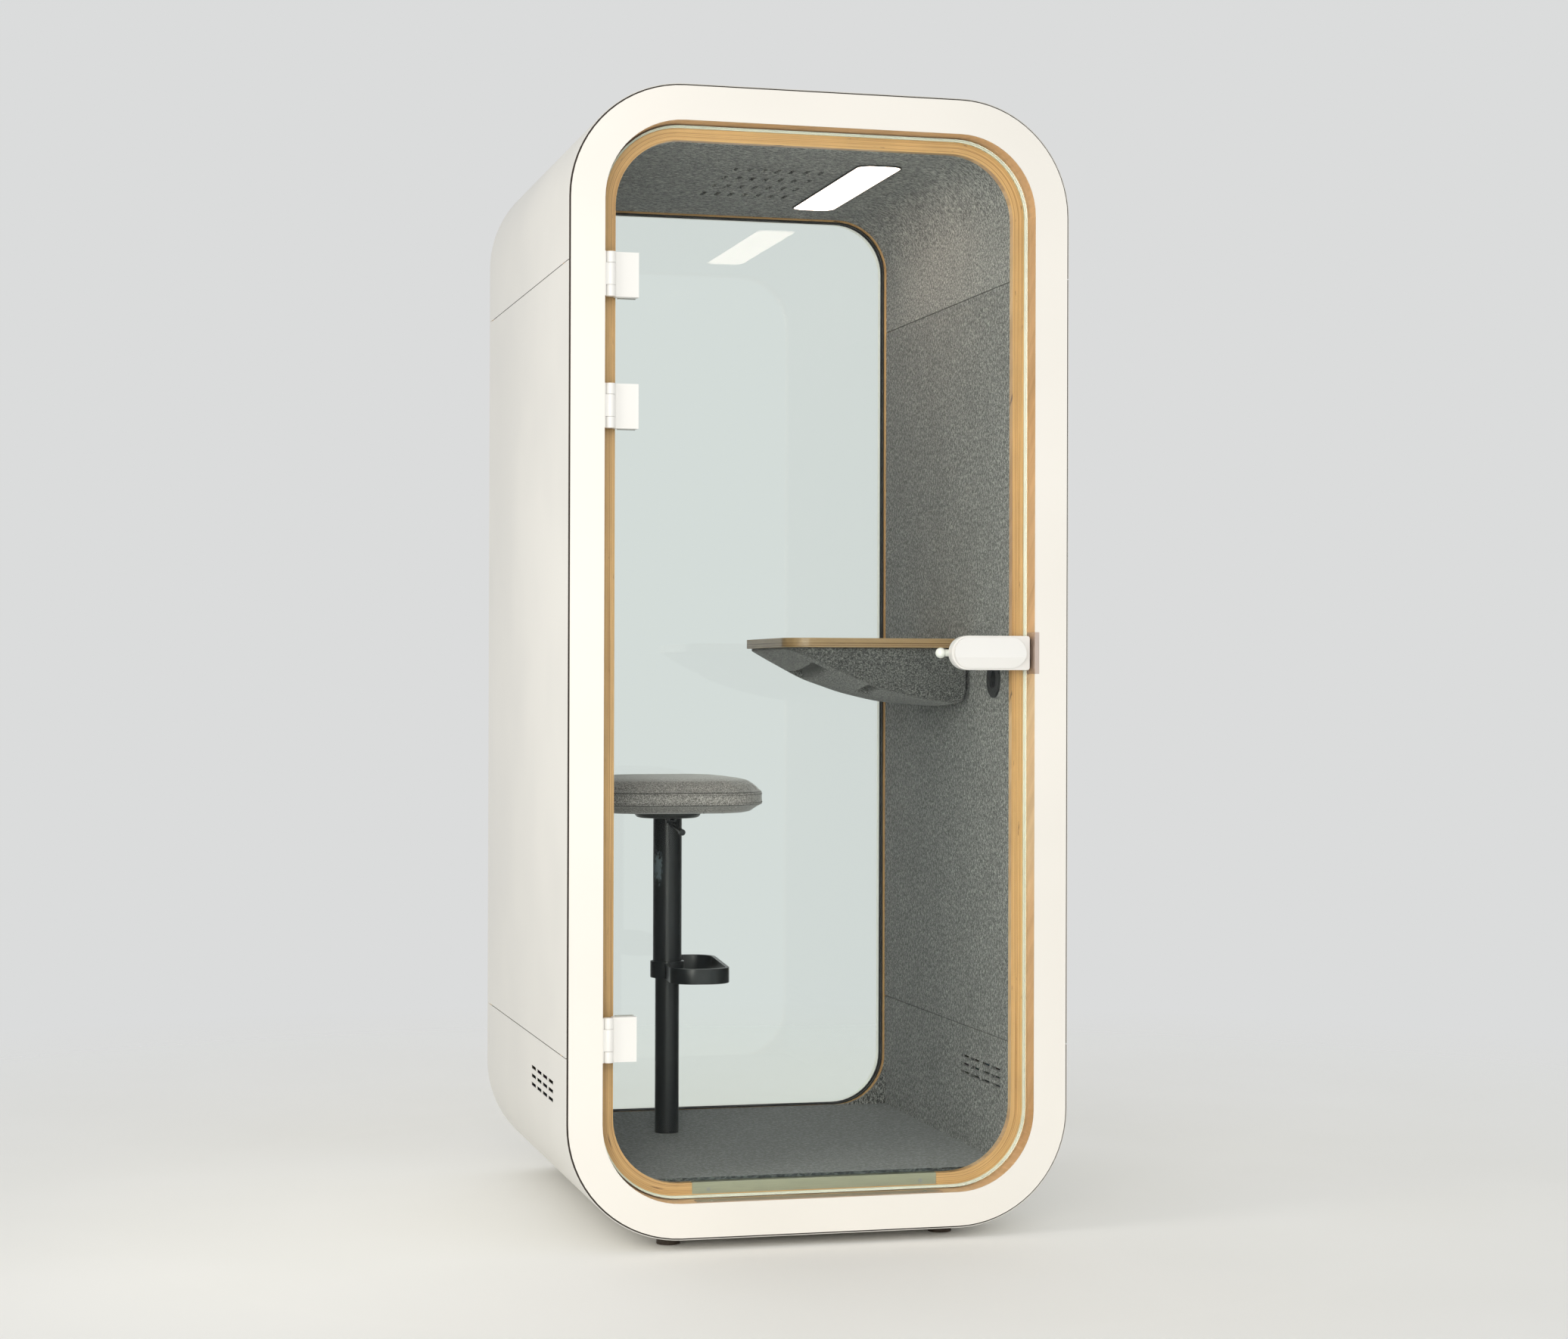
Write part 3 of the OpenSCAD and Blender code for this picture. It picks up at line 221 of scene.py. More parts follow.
def felt(name, steps, dark, mid, light, sheen=0.2, shaded=False):
    """Pressed felt. steps are flecks to the metre, along each axis. With shaded, painted light and shade from
    the piece's shade attribute lighten or darken it.
    """
    f = Finish(name, roughness=0.95, Sheen_Weight=sheen, Sheen_Roughness=0.6)
    fleck = f.noise(f.stretched(*steps), detail=3.0, roughness=0.8)
    hair = f.noise(f.stretched(*[2.7 * s for s in steps]), detail=2.0, roughness=0.7)
    cloud = f.noise(f.place, scale=14.0, detail=3.0)
    heather = f.math("ADD", f.math("MULTIPLY", fleck, 0.55), f.math("MULTIPLY", hair, 0.45))
    tone = f.ramp(heather, (0.425, dark), (0.50, mid), (0.575, light))
    shade = f.ramp(cloud, (0.3, 0.88), (0.7, 1.08))
    tone = f.blend(1.0, tone, shade, "MULTIPLY")
    # painted light and shade: multiply in the piece's shade attribute
    if shaded:
        painted_light_and_shade = f.node("ShaderNodeAttribute", attribute_name="shade").outputs["Fac"]
        tone = f.blend(1.0, tone, f.vector(painted_light_and_shade, painted_light_and_shade, painted_light_and_shade), "MULTIPLY")
    f.colour(tone)
    f.bump(fleck, 0.35, 0.0012)
    f.bump(hair, 0.4, 0.0007)
    return f.material


def seat_cloth(name, dark, mid, light):
    """Heathered wool with a fine weave, with painted shade along its two seams."""
    f = Finish(name, roughness=0.92, Sheen_Weight=0.9, Sheen_Roughness=0.45)
    yarn = f.noise(f.place, scale=330.0, detail=3.0, roughness=0.8)
    weave = f.noise(f.place, scale=900.0, detail=1.0)
    cloud = f.noise(f.place, scale=9.0, detail=3.0)
    heather = f.math("ADD", f.math("MULTIPLY", yarn, 0.6), f.math("MULTIPLY", weave, 0.4))
    tone = f.ramp(heather, (0.40, dark), (0.50, mid), (0.60, light))
    tone = f.blend(1.0, tone, f.ramp(cloud, (0.3, 0.9), (0.7, 1.06)), "MULTIPLY")
    # painted shade in the two seam grooves
    for seam in SEAT_SEAMS:
        off = f.math("ABSOLUTE", f.math("SUBTRACT", f.axis("Z"), SEAT_LOW.z + seam))
        seam_shade = f.ramp(f.math("DIVIDE", off, 0.004), (0.14, 0.34), (0.50, 1.0))
        tone = f.blend(1.0, tone, seam_shade, "MULTIPLY")
    f.colour(tone)
    f.bump(yarn, 0.4, 0.0010)
    f.bump(weave, 0.4, 0.0005)
    return f.material


def ring_distance(f, half_w, half_h, radius, middle_z):
    """Distance outside a rounded rectangle that stands round the middle of the booth."""
    x = f.math("SUBTRACT", f.math("ABSOLUTE", f.axis("X")), half_w - radius)
    z_from_middle = f.math("ABSOLUTE", f.math("SUBTRACT", f.axis("Z"), middle_z))
    z = f.math("SUBTRACT", z_from_middle, half_h - radius)
    outside = f.vector(f.math("MAXIMUM", x, 0.0), f.math("MAXIMUM", z, 0.0))
    length = f.node("ShaderNodeVectorMath", {0: outside}, operation="LENGTH").outputs["Value"]
    inside = f.math("MINIMUM", f.math("MAXIMUM", x, z), 0.0)
    return f.math("SUBTRACT", f.math("ADD", length, inside), radius)


def plywood(name, across, tones, coat=0.25, knots=0.5, gap_shade=None):
    """Edge-on plywood. across(f) gives the coordinate through the plies, in metres.

    The last argument is (where, colour): past that distance across, the edge is painted a plain line of that
    colour, as painted shade for the shadow gap round the ring.
    """
    f = Finish(name, roughness=0.42, Coat_Weight=coat, Coat_Roughness=0.25)
    depth = across(f)
    x, y, z = f.axis("X"), f.axis("Y"), f.axis("Z")
    run = f.math("ADD", f.math("ADD", x, y), z)
    wander = f.math("MULTIPLY", f.noise(f.place, scale=6.0, detail=2.0), 0.0012)
    layer = f.math("MULTIPLY", f.math("ADD", depth, wander), 620.0)
    plies = f.noise(f.vector(layer, f.math("MULTIPLY", run, 1.2)), detail=1.0)
    grain = f.noise(
        f.vector(f.math("MULTIPLY", depth, 2600.0), f.math("MULTIPLY", run, 22.0)), detail=4.0
    )
    mottle = f.noise(f.place, scale=9.0, detail=3.0)
    dark, mid, light, streak = tones
    base = f.ramp(plies, (0.34, dark), (0.46, mid), (0.56, light), (0.68, mid))
    fine = f.ramp(grain, (0.3, 0.84), (0.62, 1.04))
    base = f.blend(1.0, base, fine, "MULTIPLY")
    base = f.blend(1.0, base, f.ramp(mottle, (0.3, 0.92), (0.7, 1.04)), "MULTIPLY")
    knot_place = f.vector(
        f.math("MULTIPLY", depth, 230.0), f.math("MULTIPLY", run, 19.0), f.math("MULTIPLY", y, 9.0)
    )
    knot = f.ramp(f.noise(knot_place, detail=3.0, warp=0.5), (0.68, 0.0), (0.73, 1.0))
    base = f.blend(f.math("MULTIPLY", knot, knots), base, streak)
    # painted shade: the ring's outer edge is coloured dark for the shadow gap round it
    if gap_shade:
        where, colour = gap_shade
        base = f.blend(f.math("GREATER_THAN", depth, where), base, colour)
    f.colour(base)
    f.bump(grain, 0.15, 0.0004)
    f.bump(plies, 0.2, 0.0005)
    f.rough(f.ramp(grain, (0.3, 0.50), (0.7, 0.36)))
    return f.material


def carpet_finish():
    """Needle felt with fine ribs from side to side and a few pale specks of lint."""
    f = Finish("ribbed_carpet", roughness=0.97, Sheen_Weight=0.3)
    rib_wave = f.math("SINE", f.math("MULTIPLY", f.axis("Y"), 2 * math.pi / RIB_PITCH))
    rib = f.math("MULTIPLY_ADD", rib_wave, 0.5, 0.5)
    fibre = f.noise(f.stretched(150.0, 130.0, 400.0), detail=3.0, roughness=0.65)
    blot = f.noise(f.place, scale=7.0, detail=4.0)
    tone = f.ramp(fibre, (0.40, rgb(32, 37, 39)), (0.5, rgb(58, 65, 67)), (0.60, rgb(108, 115, 115)))
    tone = f.blend(1.0, tone, f.ramp(rib, (0.0, 0.78), (1.0, 1.05)), "MULTIPLY")
    tone = f.blend(1.0, tone, f.ramp(blot, (0.3, 0.9), (0.7, 1.06)), "MULTIPLY")
    lint = f.ramp(f.cells(f.place, scale=11.0), (0.012, 1.0), (0.024, 0.0))
    f.colour(f.blend(f.math("MULTIPLY", lint, 0.6), tone, rgb(206, 208, 204)))
    f.bump(rib, 0.5, 0.0009)
    f.bump(fibre, 0.5, 0.001)
    return f.material


def laminate(name, colour, roughness):
    """Smooth matt sheet with the faintest unevenness and a few handling marks."""
    f = Finish(name, roughness=roughness)
    drift = f.noise(f.place, scale=2.2, detail=2.0)
    grit = f.noise(f.place, scale=900.0, detail=2.0)
    smear = f.noise(f.stretched(3.0, 3.0, 9.0), detail=4.0, warp=0.6)
    f.colour(f.blend(1.0, colour, f.ramp(drift, (0.35, 0.965), (0.65, 1.0)), "MULTIPLY"))
    f.rough(f.ramp(smear, (0.4, roughness - 0.05), (0.66, roughness + 0.10)))
    f.bump(grit, 0.05, 0.0003)
    return f.material


def powder_coat(name, colour, roughness, orange_peel=0.12):
    """Satin powder coat with a fine orange peel."""
    f = Finish(name, roughness=roughness)
    peel = f.noise(f.place, scale=420.0, detail=2.0)
    drift = f.noise(f.place, scale=3.0, detail=2.0)
    f.colour(f.blend(1.0, colour, f.ramp(drift, (0.35, 0.95), (0.65, 1.0)), "MULTIPLY"))
    f.rough(f.ramp(drift, (0.3, roughness - 0.04), (0.7, roughness + 0.06)))
    f.bump(peel, orange_peel, 0.0004)
    return f.material


def worn_black_coat():
    """Black stool paint: a chalky rubbed patch high on the post, fine scratches half-way down."""
    f = Finish("worn_black_coat", roughness=0.3)
    post_x, post_y = middle_of("stool_sleeve")[:2]
    x, y, z = f.axis("X"), f.axis("Y"), f.axis("Z")
    peel = f.noise(f.place, scale=520.0, detail=2.0)
    drift = f.noise(f.place, scale=5.0, detail=3.0)
    base = f.ramp(drift, (0.3, rgb(24, 29, 32)), (0.7, rgb(34, 38, 40)))

    def near(value, centre, reach):
        off = f.math("ABSOLUTE", f.math("SUBTRACT", value, centre))
        return f.math("SUBTRACT", 1.0, f.math("DIVIDE", off, reach), clamp=True)

    rub = f.noise(f.stretched(150.0, 150.0, 75.0), detail=5.0, roughness=0.75, warp=0.4)
    patch = f.math("MULTIPLY", near(z, RUBBED_HEIGHT, 0.075), near(x, post_x - 0.024, 0.02))
    patch = f.math("MULTIPLY", patch, f.math("LESS_THAN", y, post_y))
    rubbed = f.ramp(f.math("ADD", rub, f.math("MULTIPLY", patch, 0.7)), (0.84, 0.0), (0.98, 1.0))
    rubbed = f.math("MULTIPLY", rubbed, f.math("GREATER_THAN", patch, 0.02))
    line = f.noise(f.stretched(260.0, 260.0, 900.0), detail=2.0, warp=1.6)
    scratch = f.math("MULTIPLY", f.ramp(line, (0.70, 0.0), (0.74, 1.0)), near(z, SCRATCHED_HEIGHT, 0.10))
    mark = f.math("MAXIMUM", f.math("MULTIPLY", rubbed, 0.62), f.math("MULTIPLY", scratch, 0.4))
    f.colour(f.blend(mark, base, rgb(138, 154, 162)))
    f.rough(f.ramp(mark, (0.0, 0.32), (0.6, 0.62)))
    f.bump(peel, 0.10, 0.0003)
    return f.material


def brushed(name, colour, along="X"):
    """Brushed metal with fine lines along one axis."""
    f = Finish(name, roughness=0.34, Metallic=0.9)
    steps = [18.0 if axis == along else 2600.0 for axis in "XYZ"]
    line = f.noise(f.stretched(*steps), detail=3.0)
    spot = f.noise(f.place, scale=40.0, detail=3.0)
    tone = f.ramp(line, (0.3, 0.82), (0.7, 1.08))
    f.colour(f.blend(1.0, colour, tone, "MULTIPLY"))
    f.rough(f.ramp(spot, (0.35, 0.28), (0.7, 0.46)))
    f.bump(line, 0.12, 0.0002)
    return f.material


def clear_glass(name, ior):
    """Pale green safety glass that lets lamps through; a coated pane mirrors less."""
    f = Finish(name, roughness=0.0, IOR=ior, Transmission_Weight=1.0)
    f.colour(rgb(251, 255, 253))
    haze = f.noise(f.stretched(2.0, 2.0, 5.0), detail=4.0, warp=0.4)
    f.rough(f.ramp(haze, (0.45, 0.0), (0.8, 0.012)))
    clear = f.node("ShaderNodeBsdfTransparent", {"Color": rgb(252, 254, 253)})
    ray = f.node("ShaderNodeLightPath")
    mix = f.node(
        "ShaderNodeMixShader", {0: ray.outputs["Is Shadow Ray"], 1: f.shader.outputs[0], 2: clear.outputs[0]}
    )
    f.tree.links.new(mix.outputs[0], f.tree.nodes["Material Output"].inputs["Surface"])
    return f.material


def rubber(name, colour, roughness=0.6):
    """Moulded rubber with a soft bloom."""
    f = Finish(name, roughness=roughness)
    bloom = f.noise(f.place, scale=60.0, detail=3.0)
    f.colour(f.blend(1.0, colour, f.ramp(bloom, (0.3, 0.88), (0.7, 1.1)), "MULTIPLY"))
    f.rough(f.ramp(bloom, (0.3, roughness - 0.08), (0.7, roughness + 0.1)))
    f.bump(f.noise(f.place, scale=1500.0), 0.08, 0.0002)
    return f.material


def door_seal_finish(across):
    """Clear lip seal: milky green-white, with a brown band along its edge against the jamb."""
    f = Finish("clear_seal", roughness=0.3, Coat_Weight=0.4, Coat_Roughness=0.1)
    depth = across(f)
    ripple = f.noise(f.vector(f.math("MULTIPLY", depth, 700.0), f.axis("Z"), f.axis("X")), detail=2.0)
    milky = f.ramp(ripple, (0.34, rgb(186, 192, 172)), (0.5, rgb(224, 228, 212)), (0.62, rgb(240, 242, 230)))
    edge = f.math("GREATER_THAN", depth, -SEAL_EDGE)
    f.colour(f.blend(edge, milky, rgb(92, 70, 50)))
    f.rough(f.ramp(ripple, (0.3, 0.24), (0.7, 0.4)))
    f.bump(ripple, 0.3, 0.0006)
    return f.material


def moulded(name, colour, roughness=0.5):
    """Moulded plastic with a fine spark texture."""
    f = Finish(name, roughness=roughness)
    spark = f.noise(f.place, scale=1800.0, detail=1.0)
    drift = f.noise(f.place, scale=30.0, detail=2.0)
    f.colour(f.blend(1.0, colour, f.ramp(drift, (0.3, 0.9), (0.7, 1.06)), "MULTIPLY"))
    f.bump(spark, 0.2, 0.0002)
    return f.material


def lit_diffuser():
    """Opal cover with the lamp on, a little brighter over the rows of diodes."""
    f = Finish("lit_opal", roughness=0.4)
    f.colour(rgb(250, 246, 238))
    row = f.math("COSINE", f.math("MULTIPLY", f.axis("Y"), 2 * math.pi / DIODE_PITCH))
    glow = f.math("MULTIPLY_ADD", row, 0.3, 7.0)
    f.feed(f.shader.inputs["Emission Strength"], glow)
    f.shader.inputs["Emission Color"].default_value = rgb(255, 232, 216)
    return f.material


def panel_core():
    """Raw mineral board, hidden between skin and lining."""
    f = Finish("panel_core", roughness=0.9)
    flake = f.cells(f.stretched(90.0, 90.0, 160.0), out="Color")
    f.colour(f.blend(0.06, rgb(38, 37, 36), flake))
    f.bump(f.noise(f.place, scale=300.0), 0.4, 0.001)
    return f.material


def make_finishes():
    """Every finish by the name that the dressing table below uses."""

    def through_ring(f):
        half_w, half_h = DOORWAY_HIGH.x, (DOORWAY_HIGH.z - DOORWAY_LOW.z) / 2
        return ring_distance(f, half_w, half_h, DOORWAY_R, DOORWAY_MIDDLE)

    honey = (rgb(186, 138, 84), rgb(212, 164, 104), rgb(230, 188, 130), rgb(92, 58, 36))
    jamb = (rgb(214, 166, 112), rgb(236, 192, 142), rgb(246, 216, 172), rgb(150, 96, 56))
    pale = (rgb(122, 92, 56), rgb(160, 130, 90), rgb(184, 156, 114), rgb(92, 62, 36))
    grey = (rgb(48, 49, 51), rgb(94, 96, 95), rgb(182, 182, 178))
    over = (rgb(60, 61, 62), rgb(116, 117, 116), rgb(200, 200, 195))
    warm = (rgb(92, 89, 87), rgb(146, 142, 139), rgb(214, 209, 205))
    return {
        "wall_felt": felt("wall_felt", (330, 175, 120), *grey),
        "ceiling_felt": felt("ceiling_felt", (85, 190, 150), *over),
        # the tray's felt carries painted light and shade from its shade attribute
        "tray_felt": felt("tray_felt", (330, 330, 330), *grey, shaded=True),
        "seat_felt": seat_cloth("seat_cloth", *warm),
        "carpet": carpet_finish(),
        "honey_ply": plywood("honey_ply", through_ring, honey, knots=0.9),
        # the ring's outer edge is painted dark grey as shade for its shadow gap
        "jamb_ply": plywood("jamb_ply", through_ring, jamb, knots=0.35, gap_shade=(RING_EDGE, rgb(84, 74, 66))),
        "board_ply": plywood("board_ply", lambda f: f.axis("Z"), jamb, knots=0.3),
        "table_ply": plywood("table_ply", lambda f: f.axis("Z"), pale, knots=0.3),
        "laminate": laminate("white_laminate", rgb(253, 249, 241), 0.42),
        "steel_skin": powder_coat("white_powder_coat", rgb(226, 224, 218), 0.42),
        "fitting": powder_coat("white_fitting", rgb(252, 251, 247), 0.3, orange_peel=0.05),
        "stool_black": worn_black_coat(),
        "dish_coat": powder_coat("dish_coat", rgb(74, 78, 78), 0.36),
        "dark_metal": powder_coat("dark_coat", rgb(46, 47, 48), 0.5),
        "strike": brushed("strike_steel", rgb(232, 214, 202), along="Z"),
        "sill_inner": brushed("sill_steel", rgb(186, 186, 162)),
        "sill_outer": brushed("sill_edge_steel", rgb(206, 188, 174)),
        "steel": brushed("screw_steel", rgb(176, 176, 168)),
        "rod": brushed("rod_steel", rgb(206, 206, 206), along="Z"),
        "glass": clear_glass("coated_glass", 1.17),
        "rear_glass": clear_glass("rear_glass", 1.36),
        "gasket": rubber("black_gasket", rgb(30, 29, 27)),
        "foot_rubber": rubber("foot_rubber", rgb(62, 50, 38)),
        "seal": door_seal_finish(through_ring),
        "black_plastic": moulded("black_plastic", rgb(44, 46, 48)),
        "nylon": moulded("grey_nylon", rgb(120, 120, 118), 0.45),
        "opal": lit_diffuser(),
        "core": panel_core(),
        "thread": moulded("seat_thread", rgb(66, 64, 60), 0.8),
        "lint": moulded("loose_thread", rgb(54, 52, 49), 0.9),
    }


DRESSING = {
    "jamb_ply": ("front_ring",),
    "board_ply": ("floor_board", "seat_board"),
    "honey_ply": ("inner_frame", "rear_frame"),
    "table_ply": ("table_top",),
    "laminate": ("ring_face", "rear_bead"),
    "steel_skin": ("roof_skin", "left_skin", "right_skin", "base_pan"),
    "core": ("left_core", "right_core", "roof_core", "base_core"),
    "wall_felt": ("lining_left", "lining_right", "lining_left_low", "lining_right_low", "rear_corner_felt"),
    "ceiling_felt": ("lining_top",),
    "tray_felt": ("table_tray",),
    "seat_felt": ("seat_cushion",),
    "carpet": ("carpet",),
    "glass": ("door_glass",),
    "rear_glass": ("rear_glass",),
    "gasket": ("rear_gasket",),
    "foot_rubber": ("levelling_feet",),
    "seal": ("door_seal",),
    "fitting": (
        "hinge_frame_leaves", "hinge_glass_leaves", "hinge_clamps", "handle_outer", "handle_inner",
        "lever_outer", "lever_inner",
    ),
    "strike": ("strike_plate",),
    "sill_inner": ("threshold_inner",),
    "sill_outer": ("threshold_outer",),
    "steel": ("threshold_screws", "hinge_pins", "latch_case", "latch_bolt"),
    "stool_black": ("stool_column", "stool_sleeve", "footrest", "seat_plate", "seat_lever"),
    "rod": ("gas_rod",),
    "dark_metal": ("light_housing", "table_bracket", "gas_cylinder"),
    "nylon": ("stool_bushes",),
    "black_plastic": ("fan_frames", "fan_impeller_front", "fan_impeller_rear", "outlet_plate",
                      "outlet_socket"),
    "opal": ("light_diffuser",),
}


def dress(obj, material):
    obj.data.materials.clear()
    obj.data.materials.append(material)


def dress_nodes(finishes):
    for finish, names in DRESSING.items():
        for name in names:
            dress(NODES[name], finishes[finish])


BEVELS = {
    "table_top": 0.0015, "hinge_frame_leaves": 0.0007, "hinge_glass_leaves": 0.0007,
    "handle_outer": 0.0012, "handle_inner": 0.0012, "strike_plate": 0.0004, "front_ring": 0.0004,
    "outlet_plate": 0.0006, "light_diffuser": 0.0006, "footrest": 0.001,
}


def ease_edges():
    """Break the sharp edges that a hand would touch."""
    for name, width in BEVELS.items():
        obj = NODES[name]
        weld = obj.modifiers.new("merge_corners", "WELD")
        weld.merge_threshold = 1e-6
        bevel = obj.modifiers.new("eased_edges", "BEVEL")
        bevel.width = width
        bevel.segments = 3
        bevel.limit_method = "ANGLE"
        bevel.angle_limit = math.radians(40)


# ---------------------------------------------------------------- mesh helpers


def make_object(name, verts, faces, smooth=True):
    mesh = bpy.data.meshes.new(name)
    mesh.from_pydata([tuple(v) for v in verts], [], faces)
    mesh.validate()
    for face in mesh.polygons:
        face.use_smooth = smooth
    obj = bpy.data.objects.new(name, mesh)
    bpy.context.scene.collection.objects.link(obj)
    return obj


def out_facing(obj):
    """Merge doubles and turn every face outwards."""
    work = bmesh.new()
    work.from_mesh(obj.data)
    bmesh.ops.remove_doubles(work, verts=work.verts, dist=1e-6)
    bmesh.ops.recalc_face_normals(work, faces=work.faces)
    work.to_mesh(obj.data)
    work.free()


def tube_faces(rings, count):
    """Quads between rings of count points each, every ring closed on itself."""
    return [
        (r * count + k, r * count + (k + 1) % count, (r + 1) * count + (k + 1) % count, (r + 1) * count + k)
        for r in range(rings - 1) for k in range(count)
    ]


def shade_smooth(obj):
    for face in obj.data.polygons:
        face.use_smooth = True


def on_circle(radius, angle):
    return radius * math.cos(angle), radius * math.sin(angle)


def baked(obj, name):
    """A plain mesh object of the evaluated one, which is then removed."""
    graph = bpy.context.evaluated_depsgraph_get()
    mesh = bpy.data.meshes.new_from_object(obj.evaluated_get(graph))
    mesh.name = name
    bpy.data.objects.remove(obj)
    made = bpy.data.objects.new(name, mesh)
    bpy.context.scene.collection.objects.link(made)
    return made


def rounded_square(half, radius, per_corner, centre):
    """Points round a square with rounded corners, anticlockwise."""
    points = []
    flat = half - radius
    for quarter in range(4):
        for k in range(per_corner + 1):
            a = math.radians(90) * (quarter + k / per_corner)
            cx = flat if quarter in (0, 3) else -flat
            cy = flat if quarter in (0, 1) else -flat
            points.append((centre[0] + cx + radius * math.cos(a), centre[1] + cy + radius * math.sin(a)))
    return points


# ---------------------------------------------------------------- seat cushion

CLOTH_GRID = 0.004
CLOTH_FRAMES = 20
FOAM_PRESSURE = 4.0
SWELL_CAP = 0.0055
SIDE_CAP = 0.0012
SEAM_DEPTH = 0.0016
SEAM_WIDTH = 0.0018
SEAM_STEPS = 220
STITCH_PITCH = 0.0046
STITCH_LENGTH = 0.0034
STITCH_THICKNESS = 0.0013
STITCH_FROM_SEAM = 0.0046
THREAD_R = 0.0006
THREAD_ENDS = ((-76.0, 0.0045), (-60.0, 0.0060), (-49.0, 0.0038))


def seam_heights():
    return [SEAT_LOW.z + seam for seam in SEAT_SEAMS]


def cushion_blank():
    """The pad before it is filled: pocket for the board, tucked underside, band and domed top."""
    low, high = SEAT_LOW.z, SEAT_HIGH.z
    pocket = SEAT_HALF - (SEAT_BOARD[1].x - SEAT_BOARD[0].x) / 2 - 0.002
    pocket_top = SEAT_BOARD[1].z + 0.0015
    seam_low, seam_high = seam_heights()
    profile = [
        (0.100, pocket_top), (pocket, pocket_top), (pocket, low - 0.0005), (0.044, low - 0.0022),
        (0.027, low + 0.0010), (0.0095, seam_low - 0.003), (0.0005, seam_low),
        (0.0018, (seam_low + seam_high) / 2),
        (0.0005, seam_high), (0.0085, seam_high + 0.0035), (0.018, seam_high + 0.011),
        (0.031, high - 0.0115), (0.055, high - 0.0070), (0.085, high - 0.0045), (0.125, high - 0.0030),
    ]
    rings = [
        [(x, y, z) for x, y in rounded_square(SEAT_HALF - inset, max(SEAT_R - inset, 0.005), 12, SEAT_MIDDLE)]
        for inset, z in profile
    ]
    count = len(rings[0])
    verts = [v for ring in rings for v in ring]
    faces = tube_faces(len(rings), count)
    x, y = SEAT_MIDDLE[:2]
    verts += [(x, y, pocket_top), (x, y, high - 0.0022)]
    last = (len(rings) - 1) * count
    faces += [(len(verts) - 2, (k + 1) % count, k) for k in range(count)]
    faces += [(len(verts) - 1, last + k, last + (k + 1) % count) for k in range(count)]
    obj = make_object("seat_pad", verts, faces)
    out_facing(obj)
    return obj


def fill_with_foam(pad):
    """Blow the pad up as cloth, then hold each point near where it started."""
    remesh = pad.modifiers.new("even_cloth", "REMESH")
    remesh.mode = "VOXEL"
    remesh.voxel_size = CLOTH_GRID
    pad = baked(pad, "seat_pad")
    rest = [v.co.copy() for v in pad.data.vertices]
    swollen = [co.copy() for co in rest]
    cloth = pad.modifiers.new("filling", "CLOTH")
    cloth.settings.quality = 5
    cloth.settings.mass = 0.3
    cloth.settings.tension_stiffness = 15
    cloth.settings.compression_stiffness = 15
    cloth.settings.bending_stiffness = 0.6
    cloth.settings.use_pressure = True
    cloth.settings.uniform_pressure_force = FOAM_PRESSURE
    cloth.settings.effector_weights.gravity = 0.0
    cloth.collision_settings.use_collision = False
    cloth.point_cache.frame_start = 1
    cloth.point_cache.frame_end = CLOTH_FRAMES
    for number in range(1, CLOTH_FRAMES + 1):
        bpy.context.scene.frame_set(number)
    graph = bpy.context.evaluated_depsgraph_get()
    swollen = [v.co.copy() for v in pad.evaluated_get(graph).data.vertices]
    pad.modifiers.remove(cloth)
    bpy.context.scene.frame_set(1)
    under = SEAT_LOW.z + 0.010
    for vertex, start, end in zip(pad.data.vertices, rest, swollen):
        move = end - start
        rise = min(1.0, max(0.0, (start.z - under) / 0.020))
        cap = rise * (SWELL_CAP if start.z > SEAT_LOW.z + SEAT_SEAMS[1] + 0.004 else SIDE_CAP)
        if move.length > cap:
            move *= cap / move.length
        vertex.co = start + move
    return pad


def pull_in_seams(pad):
    """One subdivision, then the two seams pinch the cloth."""
    smooth = pad.modifiers.new("smooth_cloth", "SUBSURF")
    smooth.levels = smooth.render_levels = 1
    pad = baked(pad, "seat_pad")
    normals = [v.normal.copy() for v in pad.data.vertices]
    for vertex, normal in zip(pad.data.vertices, normals):
        side = max(0.0, 1.0 - abs(normal.z) * 1.1)
        for seam in seam_heights():
            off = (vertex.co.z - seam) / SEAM_WIDTH
            vertex.co -= normal * SEAM_DEPTH * side * math.exp(-off * off)
    shade_smooth(pad)
    return pad


def seam_path(pad, height, proud):
    """Points round the pad at one height, just proud of its cloth."""
    tree = BVHTree.FromPolygons(
        [v.co for v in pad.data.vertices], [tuple(p.vertices) for p in pad.data.polygons]
    )
    points = []
    for k in range(SEAM_STEPS):
        a = 2 * math.pi * k / SEAM_STEPS
        out = Vector((math.cos(a), math.sin(a), 0.0))
        start = Vector((SEAT_MIDDLE.x, SEAT_MIDDLE.y, height)) + out * 0.5
        hit, normal, _, _ = tree.ray_cast(start, -out)
        if hit is not None:
            points.append(hit + normal * proud)
    return points


def closed_line(name, points):
    mesh = bpy.data.meshes.new(name)
    count = len(points)
    mesh.from_pydata([tuple(p) for p in points], [(k, (k + 1) % count) for k in range(count)], [])
    obj = bpy.data.objects.new(name, mesh)
    bpy.context.scene.collection.objects.link(obj)
    return obj


